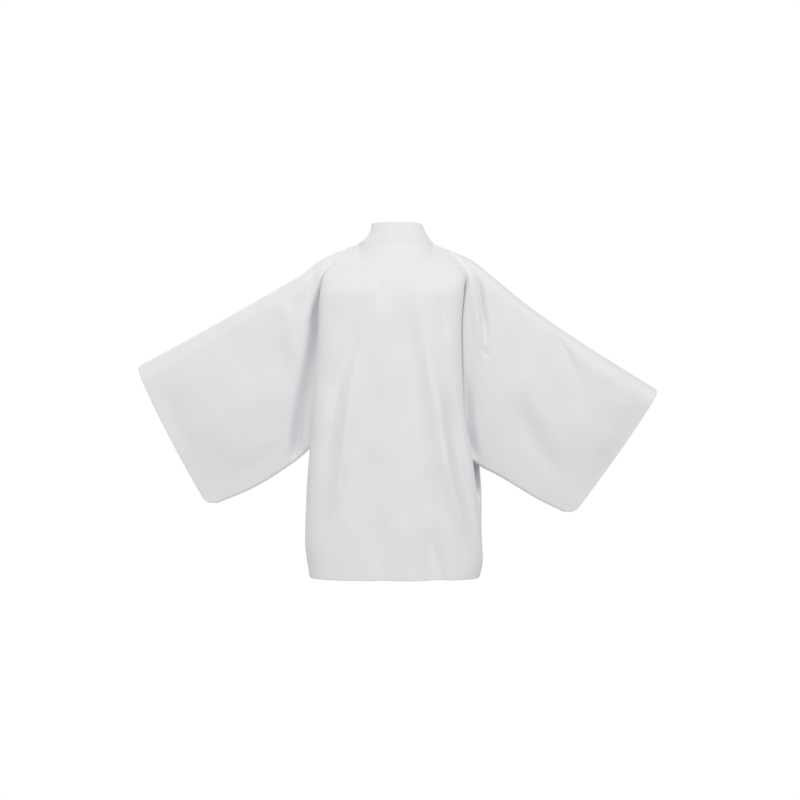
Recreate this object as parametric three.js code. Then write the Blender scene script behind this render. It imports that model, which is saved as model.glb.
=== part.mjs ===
import * as THREE from 'three';

// A plain white haori, worn open at the front, with both arms held out and down.
// Millimetres, +Z up. The wearer faces -Y, +X is the wearer's left, and the origin
// is the middle of the neck at the height where the collar is sewn on behind.

// Cloth and making
const CLOTH_WALL = 1.6;
const COLLAR_WALL = 2.8;
const SEAM_GAP = 0.3;
const HEM_Z = -781;

// How many cells each edge is divided into, and the places of a sleeve's rings along it
const NECK_STEPS = 6;
const SHOULDER_STEPS = 8;
const ARMHOLE_STEPS = 16;
const SIDE_STEPS = 8;
const COLLAR_STEPS = 4;
const GUSSET_STEPS = 2;
const SLEEVE_RINGS = [
  0, 0.018, 0.04, 0.068, 0.105, 0.15, 0.21, 0.28, 0.36, 0.45, 0.54, 0.64, 0.74, 0.83, 0.92, 1,
];

// Rows crowd together over the shoulder by this power
const ROW_POWER = 1.5;

// Neck seam: a half oval behind the neck that rises a little at its sides
const NECK = { halfWidth: 88, depth: 72, backZ: 7, sideZ: 14 };

// The collar's free edge, as a step from the seam behind the neck and at its sides
const COLLAR_BACK = { dx: 0, dy: -10, dz: 50 };
const COLLAR_SIDE = { dx: -28, dy: -4, dz: 40 };

// How far the collar hollows in at the sides of the neck, and how low that goes in front
const COLLAR_HOLLOW = { left: 9, right: 1 };
const COLLAR_HOLLOW_DROP = 60;

// The same step down the front edges, by the height of the seam
const COLLAR_FRONT = [
  { z: -781, dx: -55, dy: -5, dz: 0 },
  { z: -200, dx: -55, dy: -8, dz: 0 },
  { z: -100, dx: -53, dy: -10, dz: 7 },
  { z: -30, dx: -45, dy: -8, dz: 25 },
  { z: 14, dx: -28, dy: -4, dz: 40 },
];

// Where the front panel meets the collar band, from the middle
const FRONT_EDGE_X = 105;

// Shares of a panel's width: up to the neck corner, and up to the turn at its side
const NECK_SHARE = 0.3;
const BACK_TURN_SHARE = 0.82;
const FRONT_TURN_SHARE = 0.76;

// Roundness of the sections, 2 being an ellipse, and the drop that rounds the shoulder
const BACK_ROUNDNESS = 2.7;
const FRONT_ROUNDNESS = 2.5;
const BACK_SHOULDER_DROP = 135;
const FRONT_SHOULDER_DROP = 155;

// Depth of the body at its middle, behind and in front, by height
const DEPTH = [
  { z: -781, back: 117, front: -128 },
  { z: -500, back: 121, front: -132 },
  { z: -300, back: 120, front: -130 },
  { z: -130, back: 115, front: -120 },
  { z: 14, back: 98, front: -108 },
];

// Back panel's side by height: where it turns from view, then its seam
const BACK_SIDE = {
  left: [
    { z: -781, turnX: 204, turnY: 31, seamX: 204, seamY: 29 },
    { z: -700, turnX: 215, turnY: 28, seamX: 215, seamY: 26 },
    { z: -600, turnX: 213, turnY: 26, seamX: 212, seamY: 22 },
    { z: -487, turnX: 202, turnY: 20, seamX: 199, seamY: 6 },
    { z: -400, turnX: 190, turnY: 48, seamX: 180, seamY: 4 },
    { z: -250, turnX: 184, turnY: 56, seamX: 173, seamY: 4 },
    { z: -130, turnX: 180, turnY: 56, seamX: 171, seamY: 16 },
    { z: -79, turnX: 177, turnY: 50, seamX: 174, seamY: 34 },
    { z: -43, turnX: 159, turnY: 34, seamX: 158, seamY: 27 },
    { z: -5, turnX: 134, turnY: 0, seamX: 134, seamY: -5 },
  ],
  right: [
    { z: -781, turnX: 197, turnY: 33, seamX: 197, seamY: 29 },
    { z: -746, turnX: 204, turnY: 32, seamX: 203, seamY: 26 },
    { z: -602, turnX: 194, turnY: 32, seamX: 189, seamY: 14 },
    { z: -505, turnX: 180, turnY: 34, seamX: 176, seamY: 6 },
    { z: -458, turnX: 173, turnY: 44, seamX: 168, seamY: 2 },
    { z: -362, turnX: 159, turnY: 56, seamX: 155, seamY: 0 },
    { z: -194, turnX: 154, turnY: 58, seamX: 150, seamY: 2 },
    { z: -110, turnX: 160, turnY: 56, seamX: 156, seamY: 16 },
    { z: -70, turnX: 165, turnY: 48, seamX: 163, seamY: 32 },
    { z: -37, turnX: 152, turnY: 32, seamX: 151, seamY: 26 },
    { z: -2, turnX: 127, turnY: 0, seamX: 127, seamY: -5 },
  ],
};

// Front panel's side by height, in the same way
const FRONT_SIDE = {
  left: [
    { z: -781, turnX: 205, turnY: -31, seamX: 205, seamY: -29 },
    { z: -700, turnX: 214, turnY: -30, seamX: 214, seamY: -26 },
    { z: -600, turnX: 212, turnY: -30, seamX: 211, seamY: -22 },
    { z: -487, turnX: 201, turnY: -24, seamX: 198, seamY: -6 },
    { z: -400, turnX: 186, turnY: -58, seamX: 176, seamY: -26 },
    { z: -250, turnX: 180, turnY: -70, seamX: 169, seamY: -34 },
    { z: -130, turnX: 176, turnY: -68, seamX: 168, seamY: -40 },
    { z: -79, turnX: 173, turnY: -60, seamX: 170, seamY: -48 },
    { z: -43, turnX: 157, turnY: -44, seamX: 156, seamY: -37 },
    { z: -5, turnX: 134, turnY: -10, seamX: 134, seamY: -5 },
  ],
  right: [
    { z: -781, turnX: 199, turnY: -31, seamX: 199, seamY: -29 },
    { z: -746, turnX: 207, turnY: -30, seamX: 207, seamY: -26 },
    { z: -602, turnX: 207, turnY: -30, seamX: 206, seamY: -18 },
    { z: -505, turnX: 200, turnY: -24, seamX: 196, seamY: -6 },
    { z: -458, turnX: 187, turnY: -46, seamX: 180, seamY: -18 },
    { z: -362, turnX: 170, turnY: -62, seamX: 161, seamY: -30 },
    { z: -194, turnX: 162, turnY: -70, seamX: 152, seamY: -36 },
    { z: -110, turnX: 163, turnY: -66, seamX: 155, seamY: -40 },
    { z: -70, turnX: 164, turnY: -58, seamX: 161, seamY: -46 },
    { z: -37, turnX: 152, turnY: -42, seamX: 151, seamY: -35 },
    { z: -2, turnX: 127, turnY: -10, seamX: 127, seamY: -5 },
  ],
};

// Each sleeve: its armhole's top and foot, its cuff's top and foot
const SLEEVE = {
  left: { rootX: 134, rootZ: -5, footX: 199, footZ: -487, cuffX: 624, cuffFootX: 457 },
  right: { rootX: 127, rootZ: -2, footX: 184, footZ: -505, cuffX: 633, cuffFootX: 428 },
};

// Upper line of each sleeve, over the shoulder and along the arm
const SLEEVE_TOP = {
  left: [
    { x: 134, z: -5 },
    { x: 158, z: -14 },
    { x: 187, z: -29 },
    { x: 223, z: -58 },
    { x: 271, z: -86 },
    { x: 425, z: -173 },
    { x: 624, z: -281 },
  ],
  right: [
    { x: 127, z: -2 },
    { x: 158, z: -14 },
    { x: 187, z: -29 },
    { x: 223, z: -58 },
    { x: 312, z: -130 },
    { x: 437, z: -216 },
    { x: 633, z: -338 },
  ],
};

// Lower line of each sleeve, from under the arm to the foot of the cuff
const SLEEVE_UNDER = {
  left: [
    { x: 199, z: -487 },
    { x: 218, z: -492 },
    { x: 254, z: -518 },
    { x: 350, z: -576 },
    { x: 457, z: -620 },
  ],
  right: [
    { x: 184, z: -505 },
    { x: 208, z: -514 },
    { x: 264, z: -548 },
    { x: 350, z: -604 },
    { x: 428, z: -642 },
  ],
};

// The hanging sleeve at the armhole and at the cuff: its middle, its half thickness over
// the arm and low down, and the drop over which its top is rounded
const SLEEVE_ROOT = { middleY: -8, arm: 50, low: 34, cap: 100 };
const SLEEVE_CUFF = { middleY: -40, arm: 43, low: 15, cap: 43 };
const SLEEVE_FOOT_HALF = 5;
const SLEEVE_FOOT_DROP = 40;

// How far the cuff bows out between its corners, and the gusset between its seams
const CUFF_BOW = 5;
const GUSSET_BOW = 3;

// How far from the armhole seam the sleeve comes out of its valley, by height
const VALLEY = {
  left: [
    { z: -487, wide: 46 },
    { z: -400, wide: 44 },
    { z: -300, wide: 32 },
    { z: -150, wide: 24 },
    { z: -5, wide: 30 },
  ],
  right: [
    { z: -505, wide: 34 },
    { z: -440, wide: 30 },
    { z: -380, wide: 22 },
    { z: -150, wide: 18 },
    { z: -2, wide: 28 },
  ],
};

// Largest folds, each a curve through three points as seen from behind,
// with how far it stands out or sinks in and how wide it is
const BACK_FOLDS = [
  { x0: -2, z0: -62, x1: -50, z1: -400, x2: -102, z2: -781, out: -10, wide: 26 },
  { x0: 90, z0: -150, x1: 120, z1: -330, x2: 166, z2: -560, out: -8, wide: 24 },
  { x0: 72, z0: -160, x1: 116, z1: -430, x2: 180, z2: -690, out: 7, wide: 22 },
  { x0: -88, z0: -262, x1: -128, z1: -510, x2: -192, z2: -750, out: 10, wide: 18 },
  { x0: -126, z0: -370, x1: -150, z1: -480, x2: -160, z2: -600, out: -8, wide: 18 },
  { x0: 36, z0: -80, x1: 34, z1: -200, x2: 40, z2: -420, out: 4, wide: 26 },
];

const FRONT_FOLDS = {
  left: [
    { x0: 128, z0: -120, x1: 134, z1: -420, x2: 150, z2: -781, out: -8, wide: 20 },
    { x0: 150, z0: -200, x1: 176, z1: -480, x2: 186, z2: -781, out: 7, wide: 20 },
  ],
  right: [
    { x0: 124, z0: -110, x1: 138, z1: -400, x2: 144, z2: -781, out: -8, wide: 20 },
    { x0: 148, z0: -230, x1: 168, z1: -500, x2: 182, z2: -781, out: 7, wide: 20 },
  ],
};

const SLEEVE_FOLDS = {
  left: [
    { x0: 586, z0: -305, x1: 540, z1: -400, x2: 478, z2: -500, out: -6, wide: 26 },
    { x0: 276, z0: -115, x1: 250, z1: -200, x2: 236, z2: -330, out: 5, wide: 22 },
    { x0: 330, z0: -230, x1: 330, z1: -360, x2: 330, z2: -470, out: 6, wide: 60 },
  ],
  right: [
    { x0: 282, z0: -152, x1: 394, z1: -250, x2: 446, z2: -390, out: -8, wide: 24 },
    { x0: 276, z0: -216, x1: 326, z1: -370, x2: 430, z2: -510, out: 8, wide: 24 },
    { x0: 280, z0: -380, x1: 322, z1: -480, x2: 378, z2: -570, out: -8, wide: 22 },
    { x0: 204, z0: -72, x1: 212, z1: -130, x2: 216, z2: -240, out: -7, wide: 16 },
  ],
};

// The front layer of a sleeve has the same folds, softer
const SLEEVE_FRONT_SHARE = -0.7;

// Shares over which folds die away: at their own ends, towards a panel's side,
// past the sleeve's valley and above its lower edge
const FOLD_END_SHARE = 0.25;
const SIDE_CALM = { from: 0.7, over: 0.25 };
const VALLEY_CALM_SHARE = 0.5;
const SLEEVE_FOOT_CALM = 0.2;

// Share of the sleeve over which its top narrows from the shoulder to the arm
const CAP_SHARE = 0.25;

const SIDES = { left: 1, right: -1 };
const CLOTH_COLOUR = '#f3f3f4';
const KEY_STEP = 1000;
const LEAST_MITRE = 0.4;

const mix = (a, b, share) => a + (b - a) * share;
const clamp = (value, low = 0, high = 1) => Math.min(high, Math.max(low, value));

function smooth(value) {
  const t = clamp(value);
  return t * t * (3 - 2 * t);
}

// Slope at row i of a table, kept flat at a turn so that the curve never overshoots.
function slopeAt(table, key, column, i) {
  const last = table.length - 1;
  const rise = (a) => (table[a + 1][column] - table[a][column]) / (table[a + 1][key] - table[a][key]);
  if (i === 0) return rise(0);
  if (i === last) return rise(last - 1);
  const before = rise(i - 1);
  const after = rise(i);
  return before * after > 0 ? (2 * before * after) / (before + after) : 0;
}

// Reads a column of a table at a value of its key, on a smooth curve through the rows.
function read(table, key, column, at) {
  const value = clamp(at, table[0][key], table[table.length - 1][key]);
  let i = 0;
  while (i < table.length - 2 && value > table[i + 1][key]) i += 1;
  const width = table[i + 1][key] - table[i][key];
  const t = (value - table[i][key]) / width;
  const slope0 = slopeAt(table, key, column, i) * width;
  const slope1 = slopeAt(table, key, column, i + 1) * width;
  const t2 = t * t;
  const t3 = t2 * t;
  const start = (2 * t3 - 3 * t2 + 1) * table[i][column] + (t3 - 2 * t2 + t) * slope0;
  return start + (3 * t2 - 2 * t3) * table[i + 1][column] + (t3 - t2) * slope1;
}

// Sum of the folds at a point seen from behind: each is a soft ridge or trough
// along its curve, fading at both ends.
function foldDepth(folds, x, z) {
  let sum = 0;
  for (const fold of folds) {
    const legs = [
      [fold.x0, fold.z0, fold.x1, fold.z1],
      [fold.x1, fold.z1, fold.x2, fold.z2],
    ];
    let nearest = Infinity;
    let along = 0;
    legs.forEach(([ax, az, bx, bz], leg) => {
      const length2 = (bx - ax) ** 2 + (bz - az) ** 2;
      const t = clamp(((x - ax) * (bx - ax) + (z - az) * (bz - az)) / length2);
      const distance = Math.hypot(x - mix(ax, bx, t), z - mix(az, bz, t));
      if (distance < nearest) {
        nearest = distance;
        along = (leg + t) / 2;
      }
    });
    const fade = along > 0.5 && fold.z2 <= HEM_Z ? 1 : smooth(Math.min(along, 1 - along) / FOLD_END_SHARE);
    sum += fold.out * fade * Math.exp(-((nearest / fold.wide) ** 2));
  }
  return sum;
}

// Point of the neck and shoulder line at a share of the half width, on one side.
function shoulderLine(side, share) {
  const sign = SIDES[side];
  if (share <= NECK_SHARE) {
    const angle = (Math.PI / 2) * (share / NECK_SHARE);
    const z = mix(NECK.backZ, NECK.sideZ, Math.sin(angle) ** 2);
    return { x: sign * NECK.halfWidth * Math.sin(angle), y: NECK.depth * Math.cos(angle), z };
  }
  const along = (share - NECK_SHARE) / (1 - NECK_SHARE);
  const root = SLEEVE[side];
  const seamY = BACK_SIDE[side][BACK_SIDE[side].length - 1].seamY;
  const x = sign * mix(NECK.halfWidth, root.rootX, along);
  return { x, y: seamY * along, z: mix(NECK.sideZ, root.rootZ, along) };
}

// Folds die away towards the side of a panel.
const sideCalm = (share) => 1 - smooth((share - SIDE_CALM.from) / SIDE_CALM.over);

// Curl from the turn at the panel's side in to its seam.
function curl(row, share) {
  return { x: mix(row.turnX, row.seamX, share * share), y: mix(row.turnY, row.seamY, share) };
}

function readSide(table, z) {
  const row = {};
  for (const column of ['turnX', 'turnY', 'seamX', 'seamY']) row[column] = read(table, 'z', column, z);
  return row;
}

// Level section of the body behind, half of it, at a share of the way to the seam.
function backSection(side, share, z) {
  const row = readSide(BACK_SIDE[side], z);
  if (share > BACK_TURN_SHARE) return curl(row, (share - BACK_TURN_SHARE) / (1 - BACK_TURN_SHARE));
  const across = Math.sin((Math.PI / 2) * (share / BACK_TURN_SHARE));
  const deep = read(DEPTH, 'z', 'back', z) - row.turnY;
  const rounded = (1 - across ** BACK_ROUNDNESS) ** (1 / BACK_ROUNDNESS);
  return { x: row.turnX * across, y: row.turnY + deep * rounded };
}

// Level section of one front panel, from the collar band to the seam.
function frontSection(side, share, z) {
  const row = readSide(FRONT_SIDE[side], z);
  if (share > FRONT_TURN_SHARE) return curl(row, (share - FRONT_TURN_SHARE) / (1 - FRONT_TURN_SHARE));
  const first = Math.asin(FRONT_EDGE_X / row.turnX);
  const across = Math.sin(mix(first, Math.PI / 2, share / FRONT_TURN_SHARE));
  const deep = read(DEPTH, 'z', 'front', z) - row.turnY;
  const rounded = (1 - across ** FRONT_ROUNDNESS) ** (1 / FRONT_ROUNDNESS);
  return { x: row.turnX * across, y: row.turnY + deep * rounded };
}

// Height of a row: crowded over the shoulder, even below the arm.
function rowHeight(topZ, footZ, row) {
  if (row <= ARMHOLE_STEPS) return mix(topZ, footZ, (row / ARMHOLE_STEPS) ** ROW_POWER);
  return mix(footZ, HEM_Z, (row - ARMHOLE_STEPS) / SIDE_STEPS);
}

// A point of a body panel: its level section, drawn in to the shoulder line at the top.
function drapedPoint(side, top, section, topSection, z, drop) {
  const round = 1 - Math.sin((Math.PI / 2) * clamp((top.z - z) / drop));
  const x = section.x + (Math.abs(top.x) - topSection.x) * round;
  const y = section.y + (top.y - topSection.y) * round;
  return new THREE.Vector3(SIDES[side] * x, y, z);
}

function backPoint(side, share, row) {
  const top = shoulderLine(side, share);
  const other = side === 'left' ? 'right' : 'left';
  const footZ = mix(SLEEVE[other].footZ, SLEEVE[side].footZ, (1 + share) / 2);
  const z = rowHeight(top.z, footZ, row);
  const section = backSection(side, share, z);
  const point = drapedPoint(side, top, section, backSection(side, share, top.z), z, BACK_SHOULDER_DROP);
  point.y += foldDepth(BACK_FOLDS, point.x, z) * sideCalm(share);
  return point;
}

function frontPoint(side, share, row) {
  const top = shoulderLine(side, mix(NECK_SHARE, 1, share));
  const z = rowHeight(top.z, SLEEVE[side].footZ, row);
  const section = frontSection(side, share, z);
  const point = drapedPoint(side, top, section, frontSection(side, share, top.z), z, FRONT_SHOULDER_DROP);
  point.y -= foldDepth(FRONT_FOLDS[side], Math.abs(point.x), z) * sideCalm(share);
  return point;
}

// A grid is rows of points. Columns times rows face outward, or inward where flipped.
function backGrid() {
  const shares = [];
  for (let i = 0; i <= NECK_STEPS; i += 1) shares.push((NECK_SHARE * i) / NECK_STEPS);
  for (let i = 1; i <= SHOULDER_STEPS; i += 1) shares.push(mix(NECK_SHARE, 1, i / SHOULDER_STEPS));
  const points = [];
  for (let row = 0; row <= ARMHOLE_STEPS + SIDE_STEPS; row += 1) {
    const right = shares.slice(1).reverse().map((share) => backPoint('right', share, row));
    const left = shares.map((share) => backPoint('left', share, row));
    points.push([...right, ...left]);
  }
  return { points, closed: false, flipped: false };
}

function frontGrid(side) {
  const points = [];
  for (let row = 0; row <= ARMHOLE_STEPS + SIDE_STEPS; row += 1) {
    const line = [];
    for (let i = 0; i <= SHOULDER_STEPS; i += 1) line.push(frontPoint(side, i / SHOULDER_STEPS, row));
    points.push(line);
  }
  return { points, closed: false, flipped: side === 'left' };
}

// The last column of a panel is its side seam.
const seamOf = (grid, side) => grid.points.map((line) => line[side === 'right' ? 0 : line.length - 1]);

function gussetGrid(side, backSeam, frontSeam) {
  const points = [];
  for (let row = ARMHOLE_STEPS; row <= ARMHOLE_STEPS + SIDE_STEPS; row += 1) {
    const line = [];
    for (let i = 0; i <= GUSSET_STEPS; i += 1) {
      const point = backSeam[row].clone().lerp(frontSeam[row], i / GUSSET_STEPS);
      if (i > 0 && i < GUSSET_STEPS) point.x += SIDES[side] * GUSSET_BOW;
      line.push(point);
    }
    points.push(line);
  }
  return { points, closed: false, flipped: side === 'right' };
}

// Half thickness of the sleeve a certain drop below its upper line.
function sleeveHalf(along, drop, length) {
  const arm = mix(SLEEVE_ROOT.arm, SLEEVE_CUFF.arm, along);
  const low = mix(SLEEVE_ROOT.low, SLEEVE_CUFF.low, along);
  const cap = mix(SLEEVE_ROOT.cap, SLEEVE_CUFF.cap, smooth(along / CAP_SHARE));
  const rounded = arm * Math.sqrt(1 - (1 - clamp(drop / cap)) ** 2);
  const hanging = rounded + (low - arm) * smooth((drop - cap) / (length - 2 * cap));
  const closing = Math.sqrt(1 - clamp((drop - length + SLEEVE_FOOT_DROP) / SLEEVE_FOOT_DROP) ** 2);
  return Math.max(hanging * closing, drop > arm ? SLEEVE_FOOT_HALF : 0);
}

// Straight hanging shape of the sleeve: a share along it, a share down it, and a face,
// 1 behind, -1 in front and 0 on the fold.
function sleevePoint(side, along, down, face) {
  const size = SLEEVE[side];
  const topX = mix(size.rootX, size.cuffX, along);
  const footX = mix(size.footX, size.cuffFootX, along);
  const topZ = read(SLEEVE_TOP[side], 'x', 'z', topX);
  const footZ = read(SLEEVE_UNDER[side], 'x', 'z', footX);
  const length = Math.hypot(footX - topX, footZ - topZ);
  const half = sleeveHalf(along, down * length, length);
  const bow = CUFF_BOW * along * along * Math.sin(Math.PI * down);
  const x = mix(topX, footX, down) + bow * (topZ - footZ) / length;
  const z = mix(topZ, footZ, down) + bow * (footX - topX) / length;
  const y = mix(SLEEVE_ROOT.middleY, SLEEVE_CUFF.middleY, along) + face * half;
  return new THREE.Vector3(SIDES[side] * x, y, z);
}

// The armhole is a ring: down the back seam, across the gusset's top, up the front seam.
function armhole(backSeam, frontSeam, gussetTop) {
  const ring = [];
  for (let i = 0; i <= ARMHOLE_STEPS; i += 1) {
    const face = i === 0 ? 0 : 1;
    ring.push({ seam: backSeam[i], down: (i / ARMHOLE_STEPS) ** ROW_POWER, face });
  }
  for (let i = 1; i < GUSSET_STEPS; i += 1) ring.push({ seam: gussetTop[i], down: 1, face: 0 });
  for (let i = ARMHOLE_STEPS; i > 0; i -= 1) {
    ring.push({ seam: frontSeam[i], down: (i / ARMHOLE_STEPS) ** ROW_POWER, face: -1 });
  }
  return ring;
}

// The sleeve leaves the armhole seam, climbs out of its valley and hangs from the arm.
function sleeveGrid(side, ring) {
  const points = SLEEVE_RINGS.map((along) => ring.map(({ seam, down, face }) => {
    const root = sleevePoint(side, 0, down, face);
    const point = sleevePoint(side, along, down, face);
    const away = Math.hypot(point.x - root.x, point.z - root.z);
    const wide = read(VALLEY[side], 'z', 'wide', seam.z);
    const bend = (1 - along) ** 2;
    const sink = 1 - smooth(away / wide);
    const fade = smooth(away / wide - VALLEY_CALM_SHARE) * smooth((1 - down) / SLEEVE_FOOT_CALM);
    const fold = foldDepth(SLEEVE_FOLDS[side], Math.abs(point.x), point.z) * fade;
    point.x += (seam.x - root.x) * bend;
    point.z += (seam.z - root.z) * bend;
    point.y += (seam.y - root.y) * sink + (face < 0 ? SLEEVE_FRONT_SHARE : face) * fold;
    return point;
  }));
  return { points, closed: true, flipped: side === 'left' };
}

// The collar's seam runs up the left front, round the neck and down the right front.
function collarGrid(back, fronts) {
  const half = NECK_STEPS + SHOULDER_STEPS;
  const seam = [];
  const steps = [];
  const hollows = [];
  const addFront = (side, rows) => rows.forEach((row) => {
    const point = fronts[side].points[row][0];
    const fade = smooth(1 - (NECK.sideZ - point.z) / COLLAR_HOLLOW_DROP);
    seam.push(point);
    hollows.push(-SIDES[side] * COLLAR_HOLLOW[side] * fade);
    steps.push(new THREE.Vector3(
      SIDES[side] * read(COLLAR_FRONT, 'z', 'dx', point.z),
      read(COLLAR_FRONT, 'z', 'dy', point.z),
      read(COLLAR_FRONT, 'z', 'dz', point.z),
    ));
  });
  const rows = fronts.left.points.map((_, row) => row);
  addFront('left', rows.slice().reverse());
  for (let i = NECK_STEPS - 1; i > -NECK_STEPS; i -= 1) {
    const share = Math.abs(i) / NECK_STEPS;
    const turn = Math.sin((Math.PI / 2) * share);
    seam.push(back.points[0][half + i]);
    hollows.push(-Math.sign(i) * COLLAR_HOLLOW[i > 0 ? 'left' : 'right'] * turn * turn);
    steps.push(new THREE.Vector3(
      Math.sign(i) * mix(COLLAR_BACK.dx, COLLAR_SIDE.dx, turn),
      mix(COLLAR_BACK.dy, COLLAR_SIDE.dy, share),
      mix(COLLAR_BACK.dz, COLLAR_SIDE.dz, share * share),
    ));
  }
  addFront('right', rows);
  const points = [];
  for (let i = 0; i <= COLLAR_STEPS; i += 1) {
    const up = i / COLLAR_STEPS;
    points.push(seam.map((point, n) => {
      const raised = point.clone().addScaledVector(steps[n], up);
      raised.x += hollows[n] * Math.sin(Math.PI * up);
      return raised;
    }));
  }
  return { points, closed: false, flipped: false };
}

const keyOf = (point) => [point.x, point.y, point.z].map((v) => Math.round(v * KEY_STEP)).join(' ');

// Calls back with the four corners of each cell of a grid, in turn round it.
function eachCell(grid, visit) {
  const columns = grid.points[0].length;
  const last = grid.closed ? columns : columns - 1;
  for (let row = 0; row < grid.points.length - 1; row += 1) {
    for (let i = 0; i < last; i += 1) visit(row, i, (i + 1) % columns);
  }
}

// Face normals that meet at each point, over all pieces, so that sewn edges share a mitre.
function gatherNormals(grids) {
  const gathered = new Map();
  for (const grid of grids) {
    eachCell(grid, (row, i, next) => {
      const a = grid.points[row][i];
      const b = grid.points[row][next];
      const c = grid.points[row + 1][next];
      const d = grid.points[row + 1][i];
      const normal = c.clone().sub(a).cross(d.clone().sub(b)).normalize();
      if (grid.flipped) normal.negate();
      for (const corner of [a, b, c, d]) {
        const key = keyOf(corner);
        if (!gathered.has(key)) gathered.set(key, []);
        gathered.get(key).push(normal);
      }
    });
  }
  return gathered;
}

// Normal at a point and how much longer a step along it must be to keep the wall.
function mitreAt(point, gathered) {
  const normals = gathered.get(keyOf(point));
  const normal = normals.reduce((sum, n) => sum.add(n), new THREE.Vector3()).normalize();
  const least = Math.max(LEAST_MITRE, Math.min(...normals.map((n) => n.dot(normal))));
  return { normal, stretch: 1 / least };
}

// Moves the edge of a piece in by half a seam gap, square to the edge.
function drawIn(grid, row, i, stretch) {
  const { points, closed } = grid;
  const columns = points[0].length;
  const point = points[row][i];
  const moved = point.clone();
  const pull = (inner, before, after) => {
    const edge = after.clone().sub(before).normalize();
    const inward = inner.clone().sub(point);
    inward.addScaledVector(edge, -inward.dot(edge)).normalize();
    moved.addScaledVector(inward, (SEAM_GAP / 2) * stretch);
  };
  const rowPair = [points[Math.max(row - 1, 0)][i], points[Math.min(row + 1, points.length - 1)][i]];
  const left = closed ? (i + columns - 1) % columns : Math.max(i - 1, 0);
  const right = closed ? (i + 1) % columns : Math.min(i + 1, columns - 1);
  if (row === 0) pull(points[1][i], points[row][left], points[row][right]);
  if (row === points.length - 1) pull(points[row - 1][i], points[row][left], points[row][right]);
  if (!closed && i === 0) pull(points[row][1], ...rowPair);
  if (!closed && i === columns - 1) pull(points[row][i - 1], ...rowPair);
  return moved;
}

// Closed wall round a grid: an outer and an inner skin joined along the open edges.
function wallGeometry(grid, wall, gathered) {
  const rows = grid.points.length;
  const columns = grid.points[0].length;
  const outer = [];
  const inner = [];
  const seamLines = [];
  grid.points.forEach((line, row) => line.forEach((point, i) => {
    const { normal, stretch } = mitreAt(point, gathered);
    const middle = drawIn(grid, row, i, stretch);
    const half = (wall / 2) * stretch;
    outer.push(middle.clone().addScaledVector(normal, half));
    inner.push(middle.clone().addScaledVector(normal, -half));
    const step = normal.clone().multiplyScalar(stretch);
    seamLines.push({ out: point.clone().add(step), into: point.clone().sub(step) });
  }));
  const count = outer.length;
  const at = (row, i) => row * columns + i;
  const triangles = [];
  const quad = (a, b, c, d) => triangles.push(a, b, c, a, c, d);
  const facing = (a, b, c, d) => (grid.flipped ? quad(a, d, c, b) : quad(a, b, c, d));
  eachCell(grid, (row, i, next) => {
    const corners = [at(row, i), at(row, next), at(row + 1, next), at(row + 1, i)];
    facing(...corners);
    const [a, b, c, d] = corners.map((n) => n + count);
    facing(a, d, c, b);
  });
  const rim = (a, b) => {
    const corners = [b, a, a + count, b + count];
    const across = seamLines[b].out.distanceTo(seamLines[a].into);
    const other = seamLines[a].out.distanceTo(seamLines[b].into);
    if (other < across) corners.push(corners.shift());
    facing(...corners);
  };
  const last = grid.closed ? columns : columns - 1;
  for (let i = 0; i < last; i += 1) {
    const next = (i + 1) % columns;
    rim(at(0, i), at(0, next));
    rim(at(rows - 1, next), at(rows - 1, i));
  }
  if (!grid.closed) {
    for (let row = 0; row < rows - 1; row += 1) {
      rim(at(row + 1, 0), at(row, 0));
      rim(at(row, columns - 1), at(row + 1, columns - 1));
    }
  }
  const geometry = new THREE.BufferGeometry();
  const positions = [...outer, ...inner].flatMap((p) => [p.x, p.y, p.z]);
  geometry.setAttribute('position', new THREE.Float32BufferAttribute(positions, 3));
  geometry.setIndex(triangles);
  geometry.computeVertexNormals();
  return geometry;
}

function buildHaori() {
  const back = backGrid();
  const fronts = { left: frontGrid('left'), right: frontGrid('right') };
  const pieces = [{ name: 'back', grid: back, wall: CLOTH_WALL }];
  for (const side of Object.keys(SIDES)) {
    const backSeam = seamOf(back, side);
    const frontSeam = seamOf(fronts[side], 'left');
    const gusset = gussetGrid(side, backSeam, frontSeam);
    const ring = armhole(backSeam, frontSeam, gusset.points[0]);
    pieces.push({ name: `front_${side}`, grid: fronts[side], wall: CLOTH_WALL });
    pieces.push({ name: `gusset_${side}`, grid: gusset, wall: CLOTH_WALL });
    pieces.push({ name: `sleeve_${side}`, grid: sleeveGrid(side, ring), wall: CLOTH_WALL });
  }
  pieces.push({ name: 'collar', grid: collarGrid(back, fronts), wall: COLLAR_WALL });
  const gathered = gatherNormals(pieces.map((piece) => piece.grid));
  const haori = new THREE.Group();
  haori.name = 'haori';
  for (const { name, grid, wall } of pieces) {
    const material = new THREE.MeshStandardMaterial({ color: CLOTH_COLOUR, roughness: 0.9, metalness: 0 });
    const mesh = new THREE.Mesh(wallGeometry(grid, wall, gathered), material);
    mesh.name = name;
    haori.add(mesh);
  }
  return haori;
}

const group = buildHaori();
export default group;
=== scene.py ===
"""Looks of a plain white haori, worn open with its sleeves held out, and seen from behind."""

import logging
import math
from collections.abc import Callable
from dataclasses import dataclass, field
from enum import Enum

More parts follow.
